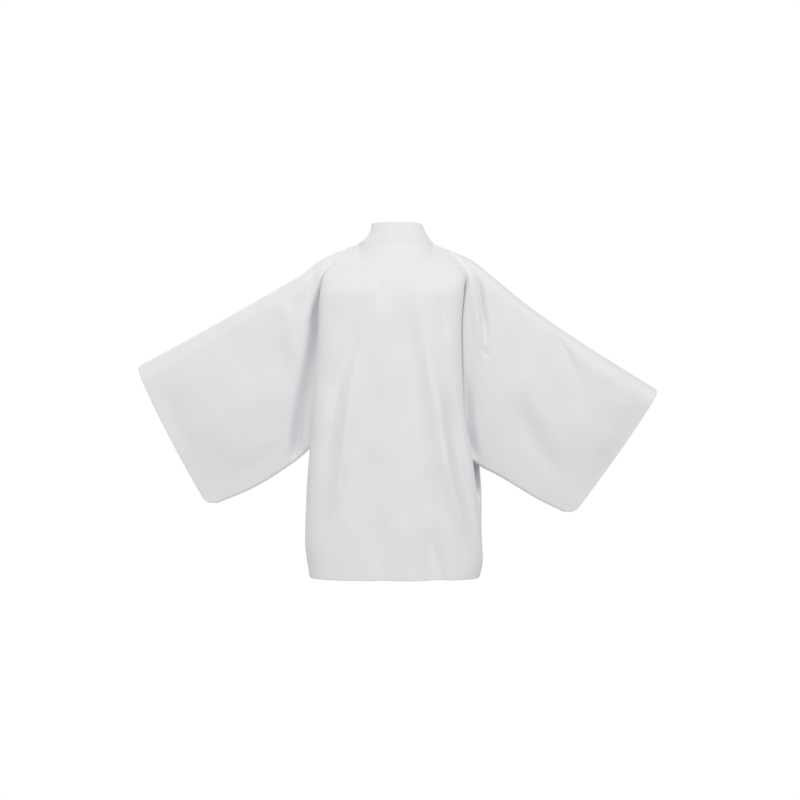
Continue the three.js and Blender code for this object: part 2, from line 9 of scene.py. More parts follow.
import bpy
import numpy as np
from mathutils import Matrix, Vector


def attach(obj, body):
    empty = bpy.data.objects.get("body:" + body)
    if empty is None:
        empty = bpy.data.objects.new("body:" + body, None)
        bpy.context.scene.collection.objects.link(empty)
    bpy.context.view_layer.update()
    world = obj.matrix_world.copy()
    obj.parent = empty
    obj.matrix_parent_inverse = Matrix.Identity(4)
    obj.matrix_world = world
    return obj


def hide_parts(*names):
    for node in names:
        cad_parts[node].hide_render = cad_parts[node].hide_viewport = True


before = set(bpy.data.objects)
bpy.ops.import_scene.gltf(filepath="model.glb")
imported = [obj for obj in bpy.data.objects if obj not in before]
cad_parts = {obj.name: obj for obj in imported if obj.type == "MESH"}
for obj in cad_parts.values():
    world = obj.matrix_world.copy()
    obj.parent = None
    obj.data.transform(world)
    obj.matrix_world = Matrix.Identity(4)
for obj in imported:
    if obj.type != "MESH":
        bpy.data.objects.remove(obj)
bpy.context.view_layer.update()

LOG = logging.getLogger("haori")
UV_MAP = "cut"
SHADER = "Principled BSDF"

Array = np.ndarray
Number = float | np.ndarray
Point = tuple[float, float, float]

# Sizes are in millimetres, as in the drawing of the garment, and turned to metres in the meshes.
MM = 0.001
HEM_Z = -781.0
NECK_SHARE = 0.3
PANEL_LENGTH = 800.0
FALL_POWER = 1.12
TINY = 1e-9

# Rows of points that a mesh gets beside a seam or hem, by their distance from the edge.
EDGE_ROWS = (0.8, 1.8, 3.2, 5.2, 8.0, 14.0, 16.0, 18.0, 20.0)
LEAST_CELL = 0.6
LEAST_CELL_SHARE = 0.2
SHARE_DIGITS = 6


class Side(Enum):
    """The garment's two sides as it is worn, by the sign of X."""

    LEFT = 1
    RIGHT = -1

    @property
    def word(self) -> str:
        """The side's name as it stands in the names of the pieces."""
        return self.name.lower()

    @property
    def other(self) -> "Side":
        """The opposite side."""
        return Side.RIGHT if self is Side.LEFT else Side.LEFT


class Edge(Enum):
    """How an edge of a piece is made."""

    SEWN = "sewn"
    HEMMED = "hemmed"
    FOLDED = "folded"


# Gives distances x and y on one side, from shares across a panel and heights.
Section = Callable[[Side, Array, Array], tuple[Array, Array]]


def mix(a: Number, b: Number, share: Number) -> Number:
    """The value at a share of the way from a to b."""
    return a + (b - a) * share


def smooth(value: Number) -> Number:
    """An even step from 0 to 1 with soft ends."""
    t = np.clip(value, 0.0, 1.0)
    return t * t * (3 - 2 * t)


def linear(colour: str) -> tuple[float, float, float, float]:
    """Turns an sRGB hex colour into the linear colour that a shader takes.

    Args:
        colour: six hex digits after a hash.

    Returns:
        Red, green and blue in linear light, and 1 for alpha.
    """
    parts = [int(colour[i:i + 2], 16) / 255 for i in (1, 3, 5)]
    # The numbers are those of the sRGB standard.
    red, green, blue = (c / 12.92 if c <= 0.04045 else ((c + 0.055) / 1.055) ** 2.4 for c in parts)
    return red, green, blue, 1.0


def grey(level: float) -> tuple[float, float, float, float]:
    """A grey in linear light, from 0 for black to 1 for white."""
    return level, level, level, 1.0


@dataclass(frozen=True)
class Curve:
    """A smooth curve through points, flat at each turn so that it never overshoots."""

    keys: tuple[float, ...]
    values: tuple[float, ...]

    def at(self, place: Number) -> Array:
        """Reads the curve.

        Args:
            place: where to read it; past its ends, the end value holds.

        Returns:
            The values there, in the same shape.
        """
        keys = np.array(self.keys, dtype=float)
        values = np.array(self.values, dtype=float)
        rise = np.diff(values) / np.diff(keys)
        slopes = np.concatenate([rise[:1], np.zeros(len(keys) - 2), rise[-1:]])
        same = rise[:-1] * rise[1:] > 0
        total = np.where(same, rise[:-1] + rise[1:], 1.0)
        slopes[1:-1] = np.where(same, 2 * rise[:-1] * rise[1:] / total, 0.0)
        place = np.clip(place, keys[0], keys[-1])
        i = np.clip(np.searchsorted(keys, place) - 1, 0, len(keys) - 2)
        width = keys[i + 1] - keys[i]
        t = (place - keys[i]) / width
        start = (2 * t**3 - 3 * t**2 + 1) * values[i] + (t**3 - 2 * t**2 + t) * slopes[i] * width
        end = (3 * t**2 - 2 * t**3) * values[i + 1] + (t**3 - t**2) * slopes[i + 1] * width
        return start + end


@dataclass(frozen=True)
class SideRows:
    """A body panel's side by height: where it turns from view, then its seam."""

    turn_x: Curve
    turn_y: Curve
    seam_x: Curve
    seam_y: Curve

    @classmethod
    def of(cls, *rows: tuple[float, ...]) -> "SideRows":
        """Makes the four curves from rows of height, turn x, turn y, seam x and seam y."""
        heights, *columns = zip(*rows)
        return cls(*(Curve(heights, column) for column in columns))


@dataclass(frozen=True)
class Fold:
    """A soft ridge or trough along a line of points, as seen from behind.

    It stands out by `out`, or sinks in where that is below 0, and fades away over the share `ends`
    of its line at each end. Its width is `wide`, and `other` on the side of the smaller x.
    """

    line: tuple[tuple[float, float], ...]
    out: float
    wide: float
    ends: float = 0.4
    other: float | None = None

    def depth(self, x: Array, z: Array) -> Array:
        """How far the cloth stands out.

        Args:
            x: places across.
            z: heights.

        Returns:
            The depth at each place, below 0 where the cloth sinks in.
        """
        nearest = np.full(np.broadcast(x, z).shape, np.inf)
        along = np.zeros_like(nearest)
        offset = np.zeros_like(nearest)
        legs = list(zip(self.line[:-1], self.line[1:]))
        for leg, ((ax, az), (bx, bz)) in enumerate(legs):
            length2 = (bx - ax) ** 2 + (bz - az) ** 2
            t = np.clip(((x - ax) * (bx - ax) + (z - az) * (bz - az)) / length2, 0, 1)
            distance = np.hypot(x - mix(ax, bx, t), z - mix(az, bz, t))
            closer = distance < nearest
            nearest = np.where(closer, distance, nearest)
            along = np.where(closer, (leg + t) / len(legs), along)
            offset = np.where(closer, x - mix(ax, bx, t), offset)
        fade = smooth(np.minimum(along, 1 - along) / self.ends)
        if self.line[-1][1] <= HEM_Z:
            fade = np.where(along > 0.5, 1.0, fade)
        wide = np.where(offset < 0, self.other or self.wide, self.wide)
        return self.out * fade * np.exp(-((nearest / wide) ** 2))


@dataclass(frozen=True)
class Ripple:
    """One of the long faint waves that keep the cloth from lying quite even."""

    length: float
    angle: float
    out: float
    start: float

    def depth(self, x: Array, z: Array) -> Array:
        """How far the wave stands out at each place."""
        along = x * math.cos(self.angle) + z * math.sin(self.angle)
        return self.out * np.sin(2 * math.pi * along / self.length + self.start)


def depth_of(folds: tuple[Fold | Ripple, ...], x: Array, z: Array) -> Array:
    """The sum of several folds at each place."""
    return sum((fold.depth(x, z) for fold in folds), np.zeros(np.broadcast(x, z).shape))


def steps(count: int, length: float, near_start: bool = True) -> Array:
    """Shares that divide an edge evenly, with more of them beside its ends for a seam or hem.

    Args:
        count: how many even cells.
        length: the edge's length.
        near_start: whether the start gets more as well as the end.

    Returns:
        The shares from 0 to 1, in order.
    """
    fine = np.array(EDGE_ROWS) / length
    kept = [np.linspace(0, 1, count + 1), 1 - fine]
    if near_start:
        kept.append(fine)
    shares = np.unique(np.concatenate(kept).round(SHARE_DIGITS))
    least = min(LEAST_CELL_SHARE / count, LEAST_CELL / length)
    apart = np.concatenate([[True], np.diff(shares) > least])
    shares = shares[apart & (shares >= 0) & (shares <= 1)]
    shares[-1] = 1.0
    return shares


def falls(rows: int, near_start: bool = True) -> Array:
    """Falls from 0 on the shoulder to 2 at the hem, a little closer together near the shoulder."""
    return 2 * steps(rows, PANEL_LENGTH, near_start) ** FALL_POWER


@dataclass(frozen=True)
class Body:
    """The garment's form under the neck: level sections that are drawn in to the shoulder line.

    The roundness of a section is 2 for an ellipse and more where it is squarer. The corner where the
    neck meets the shoulder is eased by the sizes that start with corner.
    """

    neck_half: float = 88.0
    neck_depth: float = 72.0
    neck_back_z: float = 7.0
    neck_side_z: float = 14.0
    front_edge_x: float = 105.0
    back_turn: float = 0.82
    front_turn: float = 0.76
    back_roundness: float = 2.7
    front_roundness: float = 2.5
    back_drop: float = 135.0
    front_drop: float = 155.0
    calm_from: float = 0.7
    calm_over: float = 0.25
    shoulder_seam_y: float = -5.0
    corner_ease: float = 0.16
    corner_over: float = 0.5
    corner_fall: float = 0.16
    corner_steps: int = 7
    back_depth: Curve = Curve((-781, -500, -300, -130, 14), (117, 121, 120, 115, 98))
    front_depth: Curve = Curve((-781, -500, -300, -130, 14), (-128, -132, -130, -120, -108))

    def shoulder(self, side: Side, share: Array) -> Array:
        """The neck and shoulder line.

        Args:
            side: left or right.
            share: shares of the half width, of which the neck takes NECK_SHARE.

        Returns:
            Points on it, whose x has no sign for its side yet.
        """
        root = SLEEVES[side]
        angle = math.pi / 2 * np.clip(share / NECK_SHARE, 0, 1)
        along = np.clip((share - NECK_SHARE) / (1 - NECK_SHARE), 0, 1)
        on_neck = share <= NECK_SHARE
        x = np.where(on_neck, self.neck_half * np.sin(angle), mix(self.neck_half, root.root_x, along))
        y = np.where(on_neck, self.neck_depth * np.cos(angle), self.shoulder_seam_y * along)
        neck_z = mix(self.neck_back_z, self.neck_side_z, np.sin(angle) ** 2)
        z = np.where(on_neck, neck_z, mix(self.neck_side_z, root.root_z, along))
        return np.stack([x, y, z], axis=-1)

    @staticmethod
    def section(
        rows: SideRows,
        turn: float,
        first: Number,
        power: float,
        depth: Curve,
        share: Array,
        z: Array,
    ) -> tuple[Array, Array]:
        """Half a level section: a rounded part out to the turn, then a curl in to the seam.

        Args:
            rows: the panel's side.
            turn: the share at which it turns from view.
            first: the angle at which the panel starts, from the middle of the garment.
            power: how square the rounded part is, 2 being an ellipse.
            depth: the depth at the middle, by height.
            share: shares of the way to the seam.
            z: heights.

        Returns:
            Distances x and y.
        """
        turn_x = rows.turn_x.at(z)
        turn_y = rows.turn_y.at(z)
        across = np.sin(mix(first, math.pi / 2, np.clip(share / turn, 0, 1)))
        rounded = np.clip(1 - across**power, 0, 1) ** (1 / power)
        past = np.clip((share - turn) / (1 - turn), 0, 1)
        x = np.where(share > turn, mix(turn_x, rows.seam_x.at(z), past**2), turn_x * across)
        bowed = turn_y + (depth.at(z) - turn_y) * rounded
        return x, np.where(share > turn, mix(turn_y, rows.seam_y.at(z), past), bowed)

    def back_section(self, side: Side, share: Array, z: Array) -> tuple[Array, Array]:
        """Half a level section behind."""
        rows = BACK_SIDES[side]
        return self.section(rows, self.back_turn, 0.0, self.back_roundness, self.back_depth, share, z)

    def front_section(self, side: Side, share: Array, z: Array) -> tuple[Array, Array]:
        """A level section of one front panel, from the collar band to the seam.

        Args:
            side: left or right.
            share: shares of the way to the seam.
            z: heights.

        Returns:
            Distances x and y.
        """
        rows = FRONT_SIDES[side]
        first = np.arcsin(self.front_edge_x / rows.turn_x.at(z))
        return self.section(rows, self.front_turn, first, self.front_roundness, self.front_depth, share, z)

    @staticmethod
    def height(top_z: Array, foot_z: Number, fall: Array) -> Array:
        """Height at a fall of 0 on the shoulder, 1 at the foot of the armhole and 2 at the hem."""
        above = mix(top_z, foot_z, np.clip(fall, 0, 1))
        return np.where(fall <= 1, above, mix(foot_z, HEM_Z, np.clip(fall - 1, 0, 1)))

    def draped(
        self,
        side: Side,
        share: Array,
        fall: Array,
        top: Array,
        foot_z: Number,
        section: Section,
        drop: float,
    ) -> Array:
        """Points of a panel before its folds: level sections drawn in to the top line.

        Args:
            side: left or right.
            share: shares of the panel's width.
            fall: falls from the shoulder.
            top: points of the top line.
            foot_z: the height of the foot of the armhole.
            section: gives the panel's level sections.
            drop: how far down the top line draws the cloth in.

        Returns:
            The points.
        """
        z = self.height(top[..., 2], foot_z, fall)
        x, y = section(side, share, z)
        top_x, top_y = section(side, share, top[..., 2])
        rounding = 1 - np.sin(math.pi / 2 * np.clip((top[..., 2] - z) / drop, 0, 1))
        x = x + (top[..., 0] - top_x) * rounding
        y = y + (top[..., 1] - top_y) * rounding
        return np.stack(np.broadcast_arrays(side.value * x, y, z), axis=-1)

    def calm(self, share: Array) -> Array:
        """The share of a fold that is left towards the side of a panel."""
        return 1 - smooth((share - self.calm_from) / self.calm_over)

    def eased_shoulder(self, side: Side, share: Array, fall: Array) -> Array:
        """The shoulder line for the back, its corner at the neck eased away below the seam.

        Args:
            side: left or right.
            share: shares of the half width.
            fall: falls from the shoulder.

        Returns:
            The line's points, for each fall.
        """
        near = smooth(share / NECK_SHARE) * (1 - smooth((share - NECK_SHARE) / self.corner_over))
        reach = self.corner_ease * near * smooth(fall / self.corner_fall)
        offsets = np.linspace(-1, 1, self.corner_steps)
        return sum(self.shoulder(side, share + reach * offset) for offset in offsets) / self.corner_steps

    def back(self, side: Side, share: Array, fall: Array) -> Array:
        """Points of half the back.

        Args:
            side: left or right.
            share: shares of the half width.
            fall: falls from the shoulder.

        Returns:
            The points.
        """
        foot_z = mix(SLEEVES[side.other].foot_z, SLEEVES[side].foot_z, (1 + share) / 2)
        top = self.eased_shoulder(side, share, fall)
        points = self.draped(side, share, fall, top, foot_z, self.back_section, self.back_drop)
        points[..., 1] += depth_of(BACK_FOLDS + RIPPLES, points[..., 0], points[..., 2]) * self.calm(share)
        return points

    def front(self, side: Side, share: Array, fall: Array) -> Array:
        """Points of one front panel.

        Args:
            side: left or right.
            share: shares of the panel's width.
            fall: falls from the shoulder.

        Returns:
            The points.
        """
        top =self.shoulder(side, mix(NECK_SHARE, 1, share))
        foot_z = SLEEVES[side].foot_z
        points = self.draped(side, share, fall, top, foot_z, self.front_section, self.front_drop)
        bare = side.value * points[..., 0]
        points[..., 1] -= depth_of(FRONT_FOLDS[side] + RIPPLES, bare, points[..., 2]) * self.calm(share)
        return points

    def back_seam(self, side: Side, fall: Array) -> Array:
        """The back's side seam by its fall."""
        return self.back(side, np.ones_like(fall), fall)

    def front_seam(self, side: Side, fall: Array) -> Array:
        """The front's side seam by its fall."""
        return self.front(side, np.ones_like(fall), fall)


@dataclass(frozen=True)
class SleeveForm:
    """One hanging sleeve: its lines, its thickness and its folds.

    The root is its end at the armhole and the foot its lower line. Half the thickness rises over the
    cap to its upper value and falls to its low value further down.
    """

    root_x: float
    root_z: float
    foot_x: float
    foot_z: float
    cuff_x: float
    cuff_foot_x: float
    top: Curve
    under: Curve
    valley: Curve
    folds: tuple[Fold, ...]
    creases: tuple[Fold, ...]
    root_middle: float = -8.0
    root_upper: float = 50.0
    root_low: float = 34.0
    root_cap: float = 100.0
    cuff_middle: float = -40.0
    cuff_upper: float = 43.0
    cuff_low: float = 15.0
    cuff_cap: float = 43.0
    cap_share: float = 0.25
    foot_half: float = 2.2
    foot_drop: float = 4.0
    cuff_bow: float = 5.0
    front_share: float = -0.7
    fold_start: float = 0.5
    foot_calm: float = 0.2
    thin: float = 25.0
    crease_start: float = 10.0
    crease_calm: float = 0.05
    crease_share: float = 0.8
    foot_taper: float = 0.84
    foot_corner: float = 26.0
    top_corner: float = 10.0

    def trimmed(self, along: Array, down: Array) -> Array:
        """Rounds off the cuff's two corners.

        Args:
            along: shares of the sleeve's length.
            down: shares of its depth.

        Returns:
            Shares of the length, less where the cuff rounds off.
        """
        cuff_z = self.top.at(self.cuff_x)
        cuff_foot_z = self.under.at(self.cuff_foot_x)
        top = np.hypot(self.cuff_x - self.root_x, cuff_z - self.root_z)
        foot = np.hypot(self.cuff_foot_x - self.foot_x, cuff_foot_z - self.foot_z)
        deep = np.hypot(self.cuff_x - self.cuff_foot_x, cuff_z - cuff_foot_z)
        cut = 0.0
        for radius, away in ((self.foot_corner, (1 - down) * deep), (self.top_corner, down * deep)):
            inside = 1 - np.clip(away / radius, 0, 1)
            cut = cut + radius * (1 - np.sqrt(1 - inside**2))
        return along * (1 - cut / mix(top, foot, down))

    def half(self, along: Array, drop: Array, length: Array) -> Array:
        """Half the thickness of the sleeve.

        Args:
            along: shares of the sleeve's length.
            drop: distances below its upper line.
            length: its depth there, from the upper line to the lower.

        Returns:
            Half the thickness at each place.
        """
        upper = mix(self.root_upper, self.cuff_upper, along)
        low = mix(self.root_low, self.cuff_low, along)
        cap = mix(self.root_cap, self.cuff_cap, smooth(along / self.cap_share))
        rounded = upper * np.sqrt(1 - (1 - np.clip(drop / cap, 0, 1)) ** 2)
        hanging = rounded + (low - upper) * smooth((drop - cap) / (length - 2 * cap))
        hanging = hanging * (1 - self.foot_taper * np.clip(2 * drop / length - 1, 0, 1) ** 2)
        closing = np.sqrt(1 - np.clip((drop - length + self.foot_drop) / self.foot_drop, 0, 1) ** 2)
        return np.maximum(hanging * closing, np.where(drop > upper, self.foot_half, 0.0))

    def hanging(self, side: Side, along: Array, down: Array, face: Array) -> tuple[Array, Array]:
        """The sleeve before its folds.

        Args:
            side: left or right.
            along: shares of the sleeve's length.
            down: shares of its depth.
            face: 1 on the layer behind, -1 on the layer before, and between them underneath.

        Returns:
            The points, and half the sleeve's thickness at each.
        """
        top_x = mix(self.root_x, self.cuff_x, along)
        foot_x = mix(self.foot_x, self.cuff_foot_x, along)
        top_z = self.top.at(top_x)
        foot_z = self.under.at(foot_x)
        length = np.hypot(foot_x - top_x, foot_z - top_z)
        half = self.half(along, down * length, length)
        bow = self.cuff_bow * along**2 * np.sin(math.pi * down)
        x = mix(top_x, foot_x, down) + bow * (top_z - foot_z) / length
        z = mix(top_z, foot_z, down) + bow * (foot_x - top_x) / length
        y = mix(self.root_middle, self.cuff_middle, along) + face * half
        return np.stack(np.broadcast_arrays(side.value * x, y, z), axis=-1), half


BODY = Body()

BACK_SIDES = {
    Side.LEFT: SideRows.of(
        (-781, 204, 31, 204, 29),
        (-700, 215, 28, 215, 26),
        (-600, 213, 26, 212, 22),
        (-468, 203, 38, 200, 22),
        (-400, 197, 52, 191, 38),
        (-300, 188, 56, 181, 26),
        (-220, 183, 56, 172, 4),
        (-130, 180, 56, 171, 14),
        (-79, 177, 50, 174, 34),
        (-43, 159, 34, 158, 27),
        (-5, 134, 0, 134, -5),
    ),
    Side.RIGHT: SideRows.of(
        (-781, 197, 33, 197, 29),
        (-746, 204, 32, 203, 26),
        (-602, 193, 40, 176, 0),
        (-540, 186, 42, 168, -4),
        (-483, 178, 42, 164, -4),
        (-458, 173, 44, 168, 2),
        (-362, 159, 56, 155, 0),
        (-194, 154, 58, 150, 2),
        (-110, 160, 56, 156, 16),
        (-70, 165, 48, 163, 32),
        (-37, 152, 32, 151, 26),
        (-2, 127, 0, 127, -5),
    ),
}

FRONT_SIDES = {
    Side.LEFT: SideRows.of(
        (-781, 205, -31, 205, -29),
        (-700, 214, -30, 214, -26),
        (-600, 212, -30, 211, -22),
        (-468, 201, -28, 198, -8),
        (-400, 186, -58, 176, -26),
        (-250, 180, -70, 169, -34),
        (-130, 176, -68, 168, -40),
        (-79, 173, -60, 170, -48),
        (-43, 157, -44, 156, -37),
        (-5, 134, -10, 134, -5),
    ),
    Side.RIGHT: SideRows.of(
        (-781, 199, -31, 199, -29),
        (-746, 207, -30, 207, -26),
        (-602, 207, -38, 205, -26),
        (-540, 204, -36, 202, -14),
        (-483, 196, -40, 192, -16),
        (-458, 187, -46, 180, -18),
        (-362, 170, -62, 161, -30),
        (-194, 162, -70, 152, -36),
        (-110, 163, -66, 155, -40),
        (-70, 164, -58, 161, -46),
        (-37, 152, -42, 151, -35),
        (-2, 127, -10, 127, -5),
    ),
}

SLEEVES = {
    Side.LEFT: SleeveForm(
        root_x=134,
        root_z=-5,
        foot_x=201,
        foot_z=-468,
        cuff_x=624,
        cuff_foot_x=457,
        top=Curve((134, 158, 187, 223, 271, 425, 624), (-5, -14, -29, -58, -86, -173, -281)),
        under=Curve((201, 224, 254, 350, 457), (-468, -492, -516, -576, -620)),
        valley=Curve((-468, -400, -300, -150, -5), (26, 22, 22, 22, 30)),
        folds=(
            Fold(((586, -300), (551, -365), (520, -444), (478, -510)), -7, 30),
            Fold(((276, -110), (253, -176), (236, -330)), 6, 20),
            Fold(((350, -240), (380, -420), (360, -600)), 9, 95),
            Fold(((262, -460), (320, -520), (410, -570)), -5, 26),
        ),
        creases=(
            Fold(
                (
                    (186, -60), (189, -130), (191, -200), (202, -267),
                    (219, -343), (233, -410), (241, -480), (247, -560),
                ),
                -31,
                12,
                ends=0.22,
            ),
            Fold(((158, -28), (177, -66), (200, -143), (214, -190)), 7, 7),
            Fold(((184, -28), (198, -58), (210, -100), (232, -180)), -5, 10),
        ),
    ),
    Side.RIGHT: SleeveForm(
        root_x=127,
        root_z=-2,
        foot_x=186,
        foot_z=-483,
        cuff_x=633,
        cuff_foot_x=428,
        top=Curve((127, 158, 187, 223, 312, 437, 633), (-2, -14, -29, -58, -130, -216, -338)),
        under=Curve((186, 205, 264, 350, 428), (-483, -510, -548, -604, -642)),
        valley=Curve((-483, -440, -380, -150, -2), (28, 20, 14, 11, 20)),
        folds=(
            Fold(((260, -130), (377, -212), (413, -269), (441, -331), (450, -430)), -8, 27),
            Fold(((270, -190), (308, -293), (329, -367), (377, -448), (440, -530)), 7, 30),
            Fold(((262, -300), (296, -390), (334, -470), (384, -540), (430, -590)), -6, 26),
            Fold(((640, -350), (585, -425), (530, -500), (470, -590), (430, -650)), -7, 36, ends=0.2),
            Fold(((490, -250), (530, -330), (510, -430)), 5, 34),
            Fold(((380, -198), (404, -240), (444, -325)), -5, 8),
        ),
        creases=(
            Fold(((188, -40), (196, -92), (203, -130), (210, -169), (216, -260)), -17, 7, ends=0.3),
            Fold(((182, -50), (190, -110), (196, -200), (194, -320)), 4, 10),
            Fold(((204, -232), (214, -250), (226, -256)), -7, 6),
            Fold(((166, -290), (169, -362), (173, -434), (184, -494), (196, -560)), -18, 13),
        ),
    ),
}

# How far the cloth sinks beside a seam, by height: less where the two pieces face each other.
SEAM_DIP = Curve((-781, -650, -570, -60, -25, 14), (1.1, 1.1, 0.2, 0.2, 1.8, 1.8))

# How deep each gusset folds in, by height.
POCKETS = {
    Side.LEFT: Curve((-781, -468), (0, 0)),
    Side.RIGHT: Curve((-781, -610, -560, -520, -495, -484), (0, 0, 42, 75, 60, 0)),
}

RIPPLES = (
    Ripple(61, 0.35, 0.30, 0.4),
    Ripple(83, -0.50, 0.35, 1.9),
    Ripple(118, 1.05, 0.40, 3.1),
    Ripple(47, 0.10, 0.16, 5.2),
    Ripple(149, -1.20, 0.45, 2.2),
)

BACK_FOLDS = (
    Fold(((6, -62), (-18, -165), (-38, -258), (-44, -413), (-66, -571), (-92, -781)), -12, 25),
    Fold(((81, -72), (90, -174), (104, -239), (137, -332), (165, -527), (182, -680)), -11, 18),
    Fold(((68, -120), (96, -300), (118, -460), (137, -583), (170, -660)), 8, 16),
    Fold(((110, -400), (119, -481), (137, -583), (168, -645)), 1.6, 5),
    Fold(
        ((-40, -90), (-66, -200), (-82, -310), (-98, -430), (-112, -513), (-134, -620), (-172, -740)),
        11,
        17,
    ),
    Fold(((-92, -280), (-107, -400), (-123, -509), (-143, -601), (-182, -722)), 8, 12, ends=0.25, other=8),
    Fold(((-116, -290), (-132, -410), (-148, -509), (-167, -601), (-204, -722)), -15, 13, ends=0.3),
    Fold(((38, -80), (34, -200), (38, -430)), 7, 24),
    Fold(((38, -70), (34, -105), (28, -150)), -2.5, 10),
    Fold(((-98, -110), (-108, -170), (-118, -250)), -5, 12),
    Fold(((66, -430), (52, -600), (34, -781)), -6, 22),
    Fold(((92, -600), (108, -700), (120, -781)), 5, 18),
    Fold(((-60, -650), (-92, -720), (-108, -781)), -4, 13),
    Fold(((-14, -600), (-20, -700), (-30, -781)), 5, 20),
)

FRONT_FOLDS = {
    Side.LEFT: (
        Fold(((128, -120), (136, -300), (134, -520), (150, -781)), -10, 16),
        Fold(((150, -200), (170, -360), (176, -520), (186, -781)), 9, 15),
        Fold(((116, -60), (118, -200), (114, -420)), 4, 12),
        Fold(((160, -90), (150, -150), (142, -230)), -4, 10),
        Fold(((112, -540), (122, -660), (120, -781)), 4, 14),
    ),
    Side.RIGHT: (
        Fold(((124, -110), (134, -280), (140, -480), (144, -781)), -10, 15),
        Fold(((146, -230), (158, -390), (170, -560), (184, -781)), 9, 14),
        Fold(((112, -80), (116, -260), (118, -500)), 4, 12),
        Fold(((156, -80), (144, -140), (134, -200)), -4, 10),
        Fold(((118, -600), (116, -700), (112, -781)), 4, 12),
    ),
}


class Nodes:
    """A node tree that is filled one node at a time."""

    def __init__(self, tree: bpy.types.NodeTree) -> None:
        """Takes the tree to fill."""
        self.tree = tree

    def link(self, output: bpy.types.NodeSocket, name: str, socket: str) -> None:
        """Links an output to a socket of a node that the tree already has."""
        self.tree.links.new(output, self.tree.nodes[name].inputs[socket])

    def add(self, kind: str, settings: dict | None = None, inputs: dict | None = None) -> bpy.types.Node:
        """Adds a node.

        Args:
            kind: the node's type.
            settings: its properties.
            inputs: for each socket, by name or number, a constant or an output to link.

        Returns:
            The node.
        """
        node = self.tree.nodes.new(kind)
        for key, value in (settings or {}).items():
            setattr(node, key, value)
        for key, value in (inputs or {}).items():
            if isinstance(value, bpy.types.NodeSocket):
                self.tree.links.new(value, node.inputs[key])
            else:
                node.inputs[key].default_value = value
        return node


@dataclass(frozen=True)
class Cloth:
    """Plain white woven cloth."""

    colour: str = "#f0f0f2"
    roughness: float = 0.88
    specular: float = 0.25
    sheen: float = 0.12
    sheen_roughness: float = 0.5
    yarn: float = 0.00055
    gap_share: float = 0.12
    weft_height: float = 0.7
    relief: float = 0.00006
    relief_strength: float = 0.5
    slub: float = 0.004
    slub_detail: float = 3.0
    slub_roughness: float = 0.6
    grain: float = 0.0002
    grain_strength: float = 0.35

    def normal(self, nodes: Nodes) -> bpy.types.NodeSocket:
        """Makes the weave and the thicker places in its yarn, in metres of the flat cloth.

        Args:
            nodes: the material's tree.

        Returns:
            The output that carries the surface's direction.
        """
        place = nodes.add("ShaderNodeUVMap", {"uv_map": UV_MAP})
        weave = nodes.add(
            "ShaderNodeTexBrick",
            {"offset": 0.5},
            {
                "Vector": place.outputs["UV"],
                "Scale": 1.0,
                "Brick Width": self.yarn * 2,
                "Row Height": self.yarn,
                "Mortar Size": self.yarn * self.gap_share,
                "Mortar Smooth": 1.0,
                "Color1": grey(1.0),
                "Color2": grey(self.weft_height),
                "Mortar": grey(0.0),
            },
        )
        slub = nodes.add(
            "ShaderNodeTexNoise",
            {"noise_dimensions": "2D"},
            {
                "Vector": place.outputs["UV"],
                "Scale": 1 / self.slub,
                "Detail": self.slub_detail,
                "Roughness": self.slub_roughness,
            },
        )
        relief = nodes.add(
            "ShaderNodeBump",
            inputs={
                "Strength": self.relief_strength,
                "Distance": self.relief,
                "Height": weave.outputs["Color"],
            },
        )
        grain = nodes.add(
            "ShaderNodeBump",
            inputs={
                "Strength": self.grain_strength,
                "Distance": self.grain,
                "Height": slub.outputs["Fac"],
                "Normal": relief.outputs["Normal"],
            },
        )
        return grain.outputs["Normal"]

    def build(self) -> bpy.types.Material:
        """Makes the material.

        Returns:
            The cloth's material.
        """
        # The real cloth is a plain weave of fine white cotton or polyester yarn, washed and pressed.
        # The eye sees a matte, even, faintly cool white, with a soft bloom where it turns away and a
        # fine grain that shows only near by.
        material = bpy.data.materials.new("white_plain_weave")
        material.use_nodes = True
        nodes = Nodes(material.node_tree)
        nodes.link(self.normal(nodes), SHADER, "Normal")
        shader = material.node_tree.nodes[SHADER]
        shader.inputs["Base Color"].default_value = linear(self.colour)
        shader.inputs["Roughness"].default_value = self.roughness
        shader.inputs["Sheen Weight"].default_value = self.sheen
        shader.inputs["Sheen Roughness"].default_value = self.sheen_roughness
        shader.inputs["Specular IOR Level"].default_value = self.specular
        return material


@dataclass(frozen=True)
class Thread:
    """White sewing thread."""

    colour: str = "#ececee"
    roughness: float = 0.6

    def build(self) -> bpy.types.Material:
        """Makes the material.

        Returns:
            The thread's material.
        """
        # The real thread is spun polyester, twisted tight, so that each stitch is a small bright
        # bead a little glossier than the cloth that it sinks into.
        material = bpy.data.materials.new("white_sewing_thread")
        material.use_nodes = True
        shader = material.node_tree.nodes[SHADER]
        shader.inputs["Base Color"].default_value = linear(self.colour)
        shader.inputs["Roughness"].default_value = self.roughness
        return material


@dataclass(frozen=True)
class Paper:
    """The white paper that the floor is made of."""

    glow: float = 1.02
    roughness: float = 1.0

    def build(self) -> bpy.types.Material:
        """Makes the material.

        Returns:
            The paper's material.
        """
        # The real floor is white seamless paper, matte, and so brightly lit that it can't be told
        # from the surround.
        material = bpy.data.materials.new("white_seamless_paper")
        material.use_nodes = True
        shader = material.node_tree.nodes[SHADER]
        shader.inputs["Base Color"].default_value = grey(0.0)
        shader.inputs["Roughness"].default_value = self.roughness
        shader.inputs["Specular IOR Level"].default_value = 0.0
        shader.inputs["Emission Color"].default_value = grey(1.0)
        shader.inputs["Emission Strength"].default_value = self.glow
        return material


